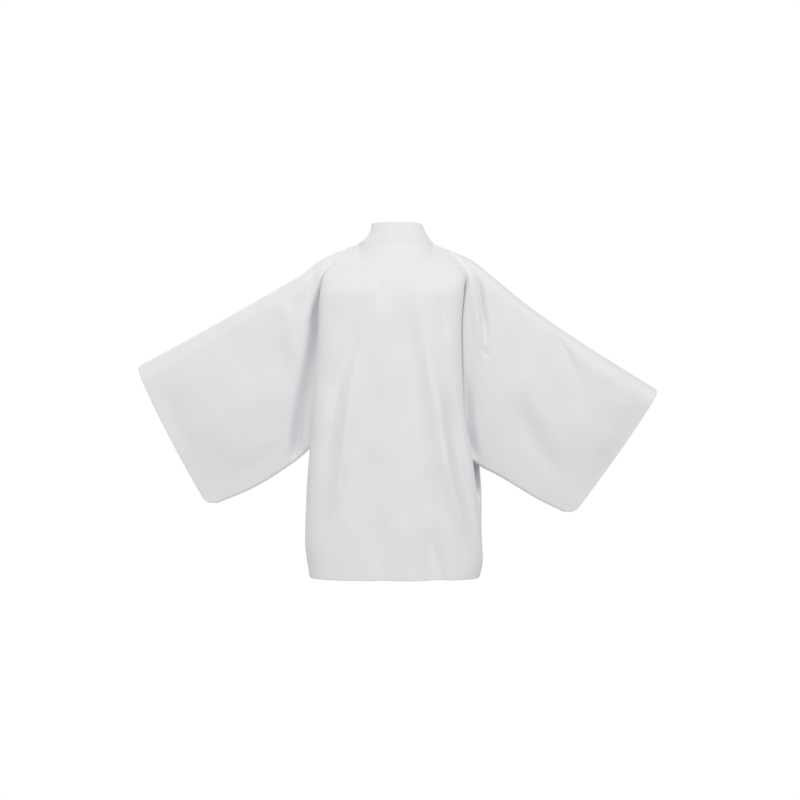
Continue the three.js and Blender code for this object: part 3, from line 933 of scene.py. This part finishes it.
def make_mesh(name: str, points: Array, faces: Array, uv: Array | None = None) -> bpy.types.Object:
    """Makes a smooth mesh object from points in millimetres.

    Args:
        name: the object's name.
        points: one row a vertex.
        faces: one row a four-cornered face.
        uv: the place of each vertex on the flat cloth, in metres.

    Returns:
        The object, linked to the scene.
    """
    mesh = bpy.data.meshes.new(name)
    mesh.from_pydata((points * MM).tolist(), [], faces.tolist())
    if uv is not None:
        corners = np.empty(len(mesh.loops), dtype=np.int32)
        mesh.loops.foreach_get("vertex_index", corners)
        mesh.uv_layers.new(name=UV_MAP).data.foreach_set("uv", uv[corners].astype(np.float32).ravel())
    mesh.polygons.foreach_set("use_smooth", np.ones(len(mesh.polygons), dtype=bool))
    mesh.validate()
    mesh.update()
    piece = bpy.data.objects.new(name, mesh)
    bpy.context.scene.collection.objects.link(piece)
    return piece


@dataclass
class Panel:
    """A cut piece of cloth: a grid of points on its middle face, its wall and how its edges are made.

    Rows run down the piece and columns across it. The edges are those of the first row, the last
    column, the last row and the first column. The grid `outer` of the outer face is there once the
    piece is built.
    """

    node: str
    wall: float = 1.2
    flipped: bool = False
    closed: bool = False
    edges: tuple[Edge, Edge, Edge, Edge] = (Edge.SEWN, Edge.SEWN, Edge.HEMMED, Edge.SEWN)
    flat: tuple[float, float] = (0.5, 0.8)
    area: float | None = None
    held: str = "draped"
    rests_on: tuple[str, ...] = ("worn_on_shoulders",)
    top_dip: float | None = 0.2
    seam_wide: float = 3.4
    hem_wide: float = 18.0
    hem_rise: float = 0.35
    hem_start: float = 1.0
    hem_over: float = 2.5
    stitch_inset: float = 2.0
    stitch_skip: int = 2
    round_share: float = 0.42
    outer: Array = field(init=False, repr=False)

    def points(self) -> Array:
        """The grid of the piece's middle face."""
        raise NotImplementedError

    @staticmethod
    def unit(vectors: Array) -> Array:
        """The same directions with a length of 1, or 0 where there is none."""
        size = np.linalg.norm(vectors, axis=-1, keepdims=True)
        return vectors / np.where(size > TINY, size, 1)

    def normals(self, points: Array) -> Array:
        """Outward directions over a grid.

        Args:
            points: the grid.

        Returns:
            A direction at each of its points.
        """
        if self.closed:
            across = np.roll(points, -1, axis=1) - np.roll(points, 1, axis=1)
        else:
            across = np.gradient(points, axis=1)
        normal = self.unit(np.cross(across, np.gradient(points, axis=0)))
        return -normal if self.flipped else normal

    def edge_distance(self, points: Array, which: int) -> Array:
        """Distance over the cloth from one of the four edges.

        Args:
            points: a grid.
            which: the edge, from 0 for the first row to 3 for the first column.

        Returns:
            The distance at each of its points.
        """
        axis = 0 if which in (0, 2) else 1
        far = which in (1, 2)
        work = np.flip(points, axis=axis) if far else points
        step = np.linalg.norm(np.diff(work, axis=axis), axis=-1)
        start = np.zeros_like(np.take(step, [0], axis=axis))
        total = np.concatenate([start, np.cumsum(step, axis=axis)], axis=axis)
        return np.flip(total, axis=axis) if far else total

    def real_edges(self) -> list[tuple[int, Edge]]:
        """The edges that the piece has; a tube has only its two ends."""
        return [(i, edge) for i, edge in enumerate(self.edges) if not self.closed or i in (0, 2)]

    def thickness(self, middle: Array) -> tuple[Array, Array]:
        """How the seams and hems shape the cloth.

        Args:
            middle: the grid of the middle face.

        Returns:
            Half the cloth's thickness at each point, and how far it dips beside a seam.
        """
        half = np.full(middle.shape[:2], self.wall / 2)
        dip = np.zeros_like(half)
        for which, edge in self.real_edges():
            distance = self.edge_distance(middle, which)
            if edge is Edge.SEWN:
                own = which == 0 and self.top_dip is not None
                deep = self.top_dip if own else SEAM_DIP.at(middle[..., 2])
                dip += deep * np.exp(-((distance / self.seam_wide) ** 2))
            if edge is Edge.HEMMED:
                past = (distance - self.hem_wide + self.hem_start) / self.hem_over
                half += self.hem_rise * (1 - smooth(past))
        return half, dip

    def skin(self, index: Array) -> Array:
        """The faces of one side of the cloth.

        Args:
            index: the grid's vertex numbers.

        Returns:
            One row a four-cornered face.
        """
        ahead = np.roll(index, -1, axis=1) if self.closed else index[:, 1:]
        here = index if self.closed else index[:, :-1]
        return np.stack([here[:-1], ahead[:-1], ahead[1:], here[1:]], axis=-1).reshape(-1, 4)

    def loops(self, index: Array) -> list[Array]:
        """The vertex numbers round each open edge, in the turn of the outer face.

        Args:
            index: the grid's vertex numbers.

        Returns:
            A row of numbers for each edge that closes on itself.
        """
        if self.closed:
            return [index[0], index[-1, ::-1]]
        return [np.concatenate([index[0, :-1], index[:-1, -1], index[-1, :0:-1], index[:0:-1, 0]])]

    def outward(self, points: Array) -> Array:
        """Directions out of the piece along the cloth at its edges.

        Args:
            points: a grid.

        Returns:
            A direction at each point, 0 away from the edges.
        """
        out = np.zeros_like(points)
        out[0] += points[0] - points[1]
        out[-1] += points[-1] - points[-2]
        if not self.closed:
            out[:, 0] += points[:, 0] - points[:, 1]
            out[:, -1] += points[:, -1] - points[:, -2]
        return self.unit(out)

    def rims(self, middle: Array, half: Array, index: Array) -> tuple[list[Array], list[Array]]:
        """Rounded edges that join the outer face to the inner one.

        Args:
            middle: the grid of the middle face.
            half: half the thickness at each of its points.
            index: its vertex numbers.

        Returns:
            The points at the tip of each edge, and the faces.
        """
        tips = middle + self.outward(middle) * (half[..., None] * 2 * self.round_share)
        points = []
        faces = []
        start = 2 * index.size
        for loop in self.loops(index):
            points.append(tips.reshape(-1, 3)[loop])
            ids = start + np.arange(len(loop))
            start += len(loop)
            after = np.roll(loop, -1)
            ids_after = np.roll(ids, -1)
            faces.append(np.stack([after, loop, ids, ids_after], axis=-1))
            faces.append(np.stack([ids_after, ids, loop + index.size, after + index.size], axis=-1))
        return points, faces

    def build(self) -> bpy.types.Object:
        """Makes the piece as a closed thin shell with rounded edges.

        Returns:
            The object.
        """
        middle = self.points()
        normal = self.normals(middle)
        half, dip = self.thickness(middle)
        middle = middle - normal * dip[..., None]
        self.outer = middle + normal * half[..., None]
        inner = middle - normal * half[..., None]
        index = np.arange(half.size).reshape(half.shape)
        skin = self.skin(index)
        tips, rims = self.rims(middle, half, index)
        points = np.concatenate([self.outer.reshape(-1, 3), inner.reshape(-1, 3), *tips])
        faces = np.concatenate([skin, skin[:, ::-1] + index.size, *rims])
        if self.flipped:
            faces = faces[:, ::-1]
        uv = self.cut(middle).reshape(-1, 2)
        uv = np.concatenate([uv, uv, *(uv[loop] for loop in self.loops(index))])
        return make_mesh(self.node + "_cloth", points, faces, uv)

    def cut(self, points: Array) -> Array:
        """Where each point lies on the flat cloth.

        Args:
            points: a grid.

        Returns:
            Places across and down, in metres.
        """
        across = self.edge_distance(points, 3)
        across = across - across[:, across.shape[1] // 2, None]
        down = self.edge_distance(points, 0)
        return np.stack([across, down], axis=-1) * MM

    def hem_lines(self) -> list[Array]:
        """Lines on the outer face along which the hems are stitched.

        Returns:
            Rows of points in millimetres.
        """
        lines = []
        for which, edge in self.real_edges():
            if edge is Edge.HEMMED and which in (0, 2):
                distance = self.edge_distance(self.outer, which).mean(axis=1)
                row = int(np.argmin(np.abs(distance - self.hem_wide + self.stitch_inset)))
                line = self.outer[row]
                open_line = line[self.stitch_skip:-self.stitch_skip]
                lines.append(np.vstack([line, line[:1]]) if self.closed else open_line)
        return lines

    def dress(
        self,
        piece: bpy.types.Object,
        cloth: bpy.types.Material,
        sewn: list[bpy.types.Object],
    ) -> None:
        """Gives the piece its cloth, hangs it on the root and hides the part that it stands for.

        Args:
            piece: the piece's object.
            cloth: its material.
            sewn: objects that are sewn to it; not used.
        """
        piece.data.materials.append(cloth)
        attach(piece, "root")
        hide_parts(self.node)


@dataclass
class Back(Panel):
    """The back panel, one piece from side seam to side seam."""

    flat: tuple[float, float] = (0.52, 0.80)
    area: float | None = 0.40
    half_width: float = 260.0
    columns: int = 98
    rows: int = 186

    def points(self) -> Array:
        """The grid of the back's middle face, from the right side seam to the left.

        Returns:
            Its points, row by row.
        """
        shares = steps(self.columns, self.half_width, near_start=False)[None, :]
        fall = falls(self.rows)[:, None]
        right = BODY.back(Side.RIGHT, shares, fall)
        left = BODY.back(Side.LEFT, shares, fall)
        return np.concatenate([right[:, :0:-1], left], axis=1)


@dataclass
class Front(Panel):
    """A front panel, from the collar band to its side seam."""

    flat: tuple[float, float] = (0.165, 0.80)
    area: float | None = 0.115
    rests_on: tuple[str, ...] = ("back",)
    side: Side = Side.LEFT
    width: float = 160.0
    columns: int = 50
    rows: int = 180

    def points(self) -> Array:
        """The grid of the front's middle face."""
        return BODY.front(self.side, steps(self.columns, self.width)[None, :], falls(self.rows)[:, None])


@dataclass
class Gusset(Panel):
    """The narrow strip between back and front, from the foot of the armhole to the hem."""

    flat: tuple[float, float] = (0.075, 0.29)
    held: str = "hung"
    side: Side = Side.LEFT
    bow: float = 3.0
    pocket_lean: float = 0.15
    width: float = 50.0
    length: float = 290.0
    columns: int = 24
    rows: int = 90

    def points(self) -> Array:
        """The grid of the gusset's middle face.

        Returns:
            Its points, row by row.
        """
        fall = 1 + steps(self.rows, self.length)
        share = steps(self.columns, self.width)[None, :, None]
        behind = BODY.back_seam(self.side, fall)[:, None, :]
        before = BODY.front_seam(self.side, fall)[:, None, :]
        points = mix(behind, before, share)
        arch = np.sin(math.pi * share[..., 0])
        deep = POCKETS[self.side].at(points[..., 2]) * arch
        points[..., 0] += self.side.value * (self.bow * arch - self.pocket_lean * deep)
        points[..., 1] -= deep
        return points


@dataclass
class Sleeve(Panel):
    """A wide sleeve: one folded piece, sewn to the whole armhole and open at the cuff."""

    closed: bool = True
    top_dip: float | None = None
    flat: tuple[float, float] = (0.98, 0.47)
    area: float | None = 0.37
    side: Side = Side.LEFT
    length: float = 400.0
    rings: int = 120
    around: int = 90
    underside: int = 6
    crowding: float = 1.5

    def ring(self) -> tuple[Array, Array, Array]:
        """One ring of the sleeve, down behind, across underneath and up in front.

        Returns:
            Shares of the sleeve's depth, the faces as SleeveForm.hanging takes them, and the armhole's
            points.
        """
        even = np.linspace(0, 1, self.around + 1)
        down = even**self.crowding
        down = mix(down, even, smooth(down))
        behind = BODY.back_seam(self.side, down)
        before = BODY.front_seam(self.side, down)
        across = np.linspace(0, 1, self.underside + 2)[1:-1, None]
        below = mix(behind[-1], before[-1], across)
        seam = np.concatenate([behind, below, before[:0:-1]])
        face = np.concatenate([np.ones(len(down)), 1 - 2 * across[:, 0], -np.ones(len(down) - 1)])
        down = np.concatenate([down, np.ones(self.underside), down[:0:-1]])
        return down, face, seam

    def relief(
        self,
        points: Array,
        down: Array,
        half: Array,
        away: Array,
        reach: Array,
    ) -> tuple[Array, Array]:
        """The sleeve's folds and creases, faded out where it is sewn, thin or folded over.

        Args:
            points: the sleeve's points.
            down: shares of its depth.
            half: half its thickness.
            away: distances from the armhole.
            reach: the same in widths of the valley beside the armhole.

        Returns:
            The depths of the folds and of the creases.
        """
        form = SLEEVES[self.side]
        bare = self.side.value * points[..., 0]
        z = points[..., 2]
        fade = smooth(reach - form.fold_start) * smooth((1 - down) / form.foot_calm)
        fade = fade * smooth(half / form.thin)
        folds = depth_of(form.folds, bare, z) * fade + depth_of(RIPPLES, bare, z) * fade
        calm = smooth((1 - down) / form.crease_calm) * smooth(away / form.crease_start)
        return folds, depth_of(form.creases, bare, z) * calm

    def points(self) -> Array:
        """The grid of the sleeve's middle face, ring after ring from the armhole to the cuff.

        Returns:
            Its points, ring by ring.
        """
        form = SLEEVES[self.side]
        down, face, seam = self.ring()
        along = form.trimmed(steps(self.rings, self.length)[:, None], down[None, :])
        root, _ = form.hanging(self.side, np.zeros((1, 1)), down[None, :], face)
        points, half = form.hanging(self.side, along, down[None, :], face)
        away = np.hypot(points[..., 0] - root[..., 0], points[..., 2] - root[..., 2])
        reach = away / form.valley.at(seam[:, 2])
        bend = (1 - along) ** 2
        points[..., 0] += (seam[:, 0] - root[..., 0]) * bend
        points[..., 2] += (seam[:, 2] - root[..., 2]) * bend
        folds, creases = self.relief(points, down, half, away, reach)
        points[..., 1] += (seam[:, 1] - root[..., 1]) * (1 - smooth(reach))
        points[..., 1] += np.where(face < 0, form.front_share, face) * folds
        points[..., 1] += np.where(face < 0, form.crease_share, 1) * creases
        return points


@dataclass
class Collar(Panel):
    """The long doubled band round the neck and down both front edges.

    The back, side and front steps lead from its seam to its free edge.
    """

    wall: float = 2.0
    top_dip: float | None = 0.15
    edges: tuple[Edge, Edge, Edge, Edge] = (Edge.SEWN, Edge.FOLDED, Edge.FOLDED, Edge.FOLDED)
    flat: tuple[float, float] = (0.056, 1.95)
    area: float | None = 0.108
    rests_on: tuple[str, ...] = ("back", "front_left", "front_right")
    back_step: Point = (0.0, -10.0, 50.0)
    side_step: Point = (-33.0, -4.0, 35.0)
    front_dx: Curve = Curve((-781, -200, -100, -30, 14), (-55, -55, -53, -46, -33))
    front_dy: Curve = Curve((-781, -200, -100, -30, 14), (-5, -8, -10, -8, -4))
    front_dz: Curve = Curve((-781, -200, -100, -30, 14), (0, 0, 7, 24, 35))
    lean_left: float = 9.0
    hollow_left: float = 6.0
    hollow_right: float = 1.0
    hollow_drop: float = 60.0
    width: float = 55.0
    front_rows: int = 200
    neck_rows: int = 60
    across: int = 14

    def hollow(self, side: Side) -> float:
        """How far the band hollows in beside the neck."""
        return self.hollow_left if side is Side.LEFT else self.hollow_right

    def lean(self, side: Side) -> float:
        """How much further the band leans in over the neck on one side."""
        return self.lean_left if side is Side.LEFT else 0.0

    def down_front(self, side: Side, fall: Array) -> tuple[Array, Array, Array]:
        """The part of the band down one front edge.

        Args:
            side: left or right.
            fall: falls from the shoulder.

        Returns:
            The seam, the step to the free edge and how far the band hollows in.
        """
        seam = BODY.front(side, np.zeros_like(fall), fall)
        z = seam[:, 2]
        fade = smooth(1 - (BODY.neck_side_z - z) / self.hollow_drop)
        inward = self.front_dx.at(z) - self.lean(side) * fade
        step = np.stack([side.value * inward, self.front_dy.at(z), self.front_dz.at(z)], axis=-1)
        return seam, step, -side.value * self.hollow(side) * fade

    def round_neck(self) -> tuple[Array, Array, Array]:
        """The part of the band round the neck, from left to right.

        Returns:
            The seam, the step to the free edge and how far the band hollows in.
        """
        place = np.linspace(1, -1, self.neck_rows + 1)[1:-1]
        share = np.abs(place)
        turn = np.sin(math.pi / 2 * share)
        left = BODY.back(Side.LEFT, NECK_SHARE * share, np.zeros_like(share))
        right = BODY.back(Side.RIGHT, NECK_SHARE * share, np.zeros_like(share))
        seam = np.where(place[:, None] >= 0, left, right)
        lean = np.where(place > 0, self.lean(Side.LEFT), -self.lean(Side.RIGHT))
        step = np.stack([
            np.sign(place) * mix(self.back_step[0], self.side_step[0], share**2) - lean * share**2,
            mix(self.back_step[1], self.side_step[1], share),
            mix(self.back_step[2], self.side_step[2], share**2),
        ], axis=-1)
        amount = np.where(place > 0, self.hollow_left, self.hollow_right)
        return seam, step, -np.sign(place) * amount * turn**2

    def points(self) -> Array:
        """The grid of the band's middle face, from the seam to the free edge.

        Returns:
            Its points, row by row.
        """
        fall = falls(self.front_rows, near_start=False)
        left = self.down_front(Side.LEFT, fall[::-1])
        neck = self.round_neck()
        right = self.down_front(Side.RIGHT, fall)
        seam, step, hollow = (np.concatenate(parts) for parts in zip(left, neck, right))
        up = steps(self.across, self.width)[:, None]
        points = seam[None] + step[None] * up[..., None]
        points[..., 0] += hollow * np.sin(math.pi * up)
        return points


@dataclass(frozen=True)
class Stitching:
    """A row of running stitches that repeats along a hem."""

    pitch: float = 0.0042
    length: float = 0.0028
    width: float = 0.0005
    segments: int = 6
    rings: int = 5

    def tree(self, thread: bpy.types.Material) -> bpy.types.NodeTree:
        """Makes the node tree that lays one stitch at each step along a line.

        Args:
            thread: the material of the stitches.

        Returns:
            The tree, with an input for the line and one for the pitch.
        """
        tree = bpy.data.node_groups.new("stitches", "GeometryNodeTree")
        tree.interface.new_socket("Line", in_out="INPUT", socket_type="NodeSocketGeometry")
        tree.interface.new_socket("Pitch", in_out="INPUT", socket_type="NodeSocketFloat")
        tree.interface.new_socket("Stitches", in_out="OUTPUT", socket_type="NodeSocketGeometry")
        nodes = Nodes(tree)
        given = nodes.add("NodeGroupInput")
        line = nodes.add("GeometryNodeMeshToCurve", inputs={"Mesh": given.outputs["Line"]})
        even = nodes.add(
            "GeometryNodeResampleCurve",
            {"mode": "LENGTH"},
            {"Curve": line.outputs["Curve"], "Length": given.outputs["Pitch"]},
        )
        bead = nodes.add(
            "GeometryNodeMeshUVSphere",
            inputs={"Segments": self.segments, "Rings": self.rings, "Radius": 1 / 2},
        )
        shaped = nodes.add(
            "GeometryNodeTransform",
            inputs={"Geometry": bead.outputs["Mesh"], "Scale": (self.width, self.width, self.length)},
        )
        tangent = nodes.add("GeometryNodeInputTangent")
        turned = nodes.add(
            "FunctionNodeAlignRotationToVector", {"axis": "Z"}, {"Vector": tangent.outputs["Tangent"]}
        )
        laid = nodes.add(
            "GeometryNodeInstanceOnPoints",
            inputs={
                "Points": even.outputs["Curve"],
                "Instance": shaped.outputs["Geometry"],
                "Rotation": turned.outputs["Rotation"],
            },
        )
        real = nodes.add("GeometryNodeRealizeInstances", inputs={"Geometry": laid.outputs["Instances"]})
        done = nodes.add(
            "GeometryNodeSetMaterial", inputs={"Geometry": real.outputs["Geometry"], "Material": thread}
        )
        nodes.add("NodeGroupOutput", inputs={"Stitches": done.outputs["Geometry"]})
        return tree

    @staticmethod
    def guide(name: str, lines: list[Array]) -> bpy.types.Object:
        """Makes the lines that stitches are laid along.

        Args:
            name: the object's name.
            lines: points on the cloth, in millimetres.

        Returns:
            An object of loose edges, linked to the scene.
        """
        mesh = bpy.data.meshes.new(name + "_line")
        edges = []
        base = 0
        for line in lines:
            edges += [(base + i, base + i + 1) for i in range(len(line) - 1)]
            base += len(line)
        mesh.from_pydata((np.vstack(lines) * MM).tolist(), edges, [])
        guide = bpy.data.objects.new(name, mesh)
        bpy.context.scene.collection.objects.link(guide)
        return guide

    def build(
        self,
        name: str,
        lines: list[Array],
        tree: bpy.types.NodeTree,
        thread: bpy.types.Material,
    ) -> bpy.types.Object:
        """Sews a row of stitches along each line.

        Args:
            name: the object's name.
            lines: points on the cloth, in millimetres.
            tree: the node tree from tree().
            thread: the material of the stitches.

        Returns:
            A plain mesh of all the stitches.
        """
        guide = self.guide(name, lines)
        modifier = guide.modifiers.new("stitches", "NODES")
        modifier.node_group = tree
        pitch = next(s.identifier for s in tree.interface.items_tree if s.name == "Pitch")
        modifier[pitch] = self.pitch
        bpy.context.view_layer.update()
        shown = guide.evaluated_get(bpy.context.evaluated_depsgraph_get())
        sewn = bpy.data.meshes.new_from_object(shown)
        guide.modifiers.remove(modifier)
        guide.data = sewn
        sewn.polygons.foreach_set("use_smooth", np.ones(len(sewn.polygons), dtype=bool))
        if not sewn.materials:
            sewn.materials.append(thread)
        return guide


@dataclass
class Haori:
    """The whole garment: every cut piece and its hem stitches."""

    stitching: Stitching = field(default_factory=Stitching)
    gusset_area_left: float = 0.015
    gusset_area_right: float = 0.0215

    def side_pieces(self, side: Side) -> list[Panel]:
        """One side's front, gusset and sleeve.

        Args:
            side: left or right.

        Returns:
            The three pieces.
        """
        left = side is Side.LEFT
        area = self.gusset_area_left if left else self.gusset_area_right
        front = Front(f"front_{side.word}", flipped=left, side=side)
        gusset = Gusset(
            f"gusset_{side.word}",
            flipped=not left,
            area=area,
            rests_on=("back", front.node),
            side=side,
        )
        sleeve = Sleeve(
            f"sleeve_{side.word}",
            flipped=left,
            rests_on=("back", front.node, gusset.node),
            side=side,
        )
        return [front, gusset, sleeve]

    def pieces(self) -> list[Panel]:
        """The cut pieces in the order in which they are sewn."""
        sides = [piece for side in Side for piece in self.side_pieces(side)]
        return [Back("back"), *sides, Collar("collar")]

    def build(self) -> None:
        """Builds and dresses every piece, with the stitches that belong to it."""
        cloth = Cloth().build()
        thread = Thread().build()
        tree = self.stitching.tree(thread)
        for panel in self.pieces():
            piece = panel.build()
            sewn = []
            lines = panel.hem_lines()
            if lines:
                row = self.stitching.build(panel.node + "_hem_stitches", lines, tree, thread)
                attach(row, "root")
                sewn.append(row)
            panel.dress(piece, cloth, sewn)
            triangles = sum(len(face.vertices) - 2 for face in piece.data.polygons)
            LOG.info("%s: %d triangles, %d hem lines", panel.node, triangles, len(lines))


@dataclass(frozen=True)
class Studio:
    """A white studio: a surround that is white at eye level, three soft lights and a pale floor."""

    white: float = 1.0
    above: float = 0.56
    below: float = 0.34
    level: float = 0.5
    band: float = 0.29
    fade_above: float = 0.1
    fade_below: float = 0.07
    strength: float = 1.17
    sides: float = 0.6
    sides_from: float = 0.25
    backdrop: float = 1.02
    key_power: float = 17.0
    key_place: Point = (-0.8, 1.9, 1.8)
    fill_power: float = 5.0
    fill_place: Point = (2.0, 2.0, 0.4)
    front_power: float = 19.0
    front_place: Point = (1.2, -2.0, 1.6)
    lamp_aim: Point = (0.0, 0.0, -0.3)
    lamp_size: float = 1.2
    floor_z: float = -1.42
    floor_half: float = 9.0

    def shade(self, nodes: Nodes, height: bpy.types.NodeSocket) -> bpy.types.NodeSocket:
        """Makes the surround's brightness by height.

        Args:
            nodes: the surround's tree.
            height: the upward part of a direction, from -1 to 1.

        Returns:
            The output that carries the brightness: white round the horizon, less over and under it.
        """
        share = nodes.add("ShaderNodeMapRange", inputs={"Value": height, "From Min": -1.0, "From Max": 1.0})
        ramp = nodes.add("ShaderNodeValToRGB", inputs={"Fac": share.outputs["Result"]})
        low = self.level - self.band / 2
        high = self.level + self.band / 2
        stops = (
            (low - self.fade_below, self.below),
            (low, self.white),
            (high, self.white),
            (high + self.fade_above, self.above),
        )
        points = ramp.color_ramp.elements
        for place, level in stops:
            points.new(place).color = grey(level)
        points[0].color = grey(self.below)
        points[-1].color = grey(self.above)
        return ramp.outputs["Color"]

    def surround(self) -> bpy.types.World:
        """Makes the surround that lights the cloth, with a plain white backdrop before it.

        Returns:
            The world.
        """
        world = bpy.data.worlds.new("white_surround")
        world.use_nodes = True
        nodes = Nodes(world.node_tree)
        way = nodes.add("ShaderNodeTexCoord")
        parts = nodes.add("ShaderNodeSeparateXYZ", inputs={0: way.outputs["Generated"]})
        sideways = nodes.add("ShaderNodeMath", {"operation": "ABSOLUTE"}, {0: parts.outputs["X"]})
        dimmed = nodes.add(
            "ShaderNodeMapRange",
            inputs={
                "Value": sideways.outputs[0],
                "From Min": self.sides_from,
                "From Max": 1.0,
                "To Min": self.strength,
                "To Max": self.strength * self.sides,
            },
        )
        nodes.link(self.shade(nodes, parts.outputs["Z"]), "Background", "Color")
        nodes.link(dimmed.outputs["Result"], "Background", "Strength")
        lit = world.node_tree.nodes["Background"].outputs[0]
        backdrop = nodes.add("ShaderNodeBackground", inputs={"Color": grey(1.0), "Strength": self.backdrop})
        path = nodes.add("ShaderNodeLightPath")
        seen = nodes.add(
            "ShaderNodeMixShader",
            inputs={0: path.outputs["Is Camera Ray"], 1: lit, 2: backdrop.outputs[0]},
        )
        nodes.link(seen.outputs[0], "World Output", "Surface")
        return world

    def lamp(self, name: str, place: Point, power: float) -> bpy.types.Object:
        """Makes a soft light that is aimed at the shoulders.

        Args:
            name: the light's name.
            place: where it stands, in metres.
            power: its power in watts.

        Returns:
            The light's object.
        """
        light = bpy.data.lights.new(name, "AREA")
        light.energy = power
        light.size = self.lamp_size
        lamp = bpy.data.objects.new(name, light)
        lamp.location = place
        aim = Vector(self.lamp_aim) - Vector(place)
        lamp.rotation_euler = aim.to_track_quat("-Z", "Y").to_euler()
        return lamp

    def floor(self) -> bpy.types.Object:
        """Makes the floor, which is no part of the garment and throws no light on it.

        Returns:
            The floor's object.
        """
        half = self.floor_half / MM
        low = self.floor_z / MM
        corners = np.array([(-half, -half, low), (half, -half, low), (half, half, low), (-half, half, low)])
        floor = make_mesh("floor", corners, np.array([[0, 1, 2, 3]]))
        floor.data.materials.append(Paper(glow=self.backdrop).build())
        floor.visible_diffuse = False
        floor.visible_glossy = False
        return floor

    def build(self) -> None:
        """Makes the surround, the lights and the floor."""
        scene = bpy.context.scene
        scene.view_settings.view_transform = "Standard"
        scene.world = self.surround()
        scene.collection.objects.link(self.lamp("key", self.key_place, self.key_power))
        scene.collection.objects.link(self.lamp("fill", self.fill_place, self.fill_power))
        scene.collection.objects.link(self.lamp("front", self.front_place, self.front_power))
        self.floor()
        LOG.info("studio: floor at %.2f m", self.floor_z)


@dataclass(frozen=True)
class Viewpoint:
    """The place from which the haori is seen: level and straight from behind."""

    x: float = -0.0096
    distance: float = 3.4
    z: float = -0.362
    lens: float = 63.75
    sensor: float = 36.0

    def build(self) -> None:
        """Makes the scene's camera."""
        camera = bpy.data.cameras.new("from_behind")
        camera.lens = self.lens
        camera.sensor_width = self.sensor
        seer = bpy.data.objects.new("from_behind", camera)
        seer.location = (self.x, self.distance, self.z)
        seer.rotation_euler = (math.pi / 2, 0, math.pi)
        bpy.context.scene.collection.objects.link(seer)
        bpy.context.scene.camera = seer
        LOG.info("camera: %.1f m behind", self.distance)


def main() -> None:
    """Builds the garment, the studio and the camera."""
    logging.basicConfig(level=logging.INFO, format="%(message)s")
    Haori().build()
    Studio().build()
    Viewpoint().build()
    bpy.context.view_layer.update()


if __name__ == "__main__":
    main()
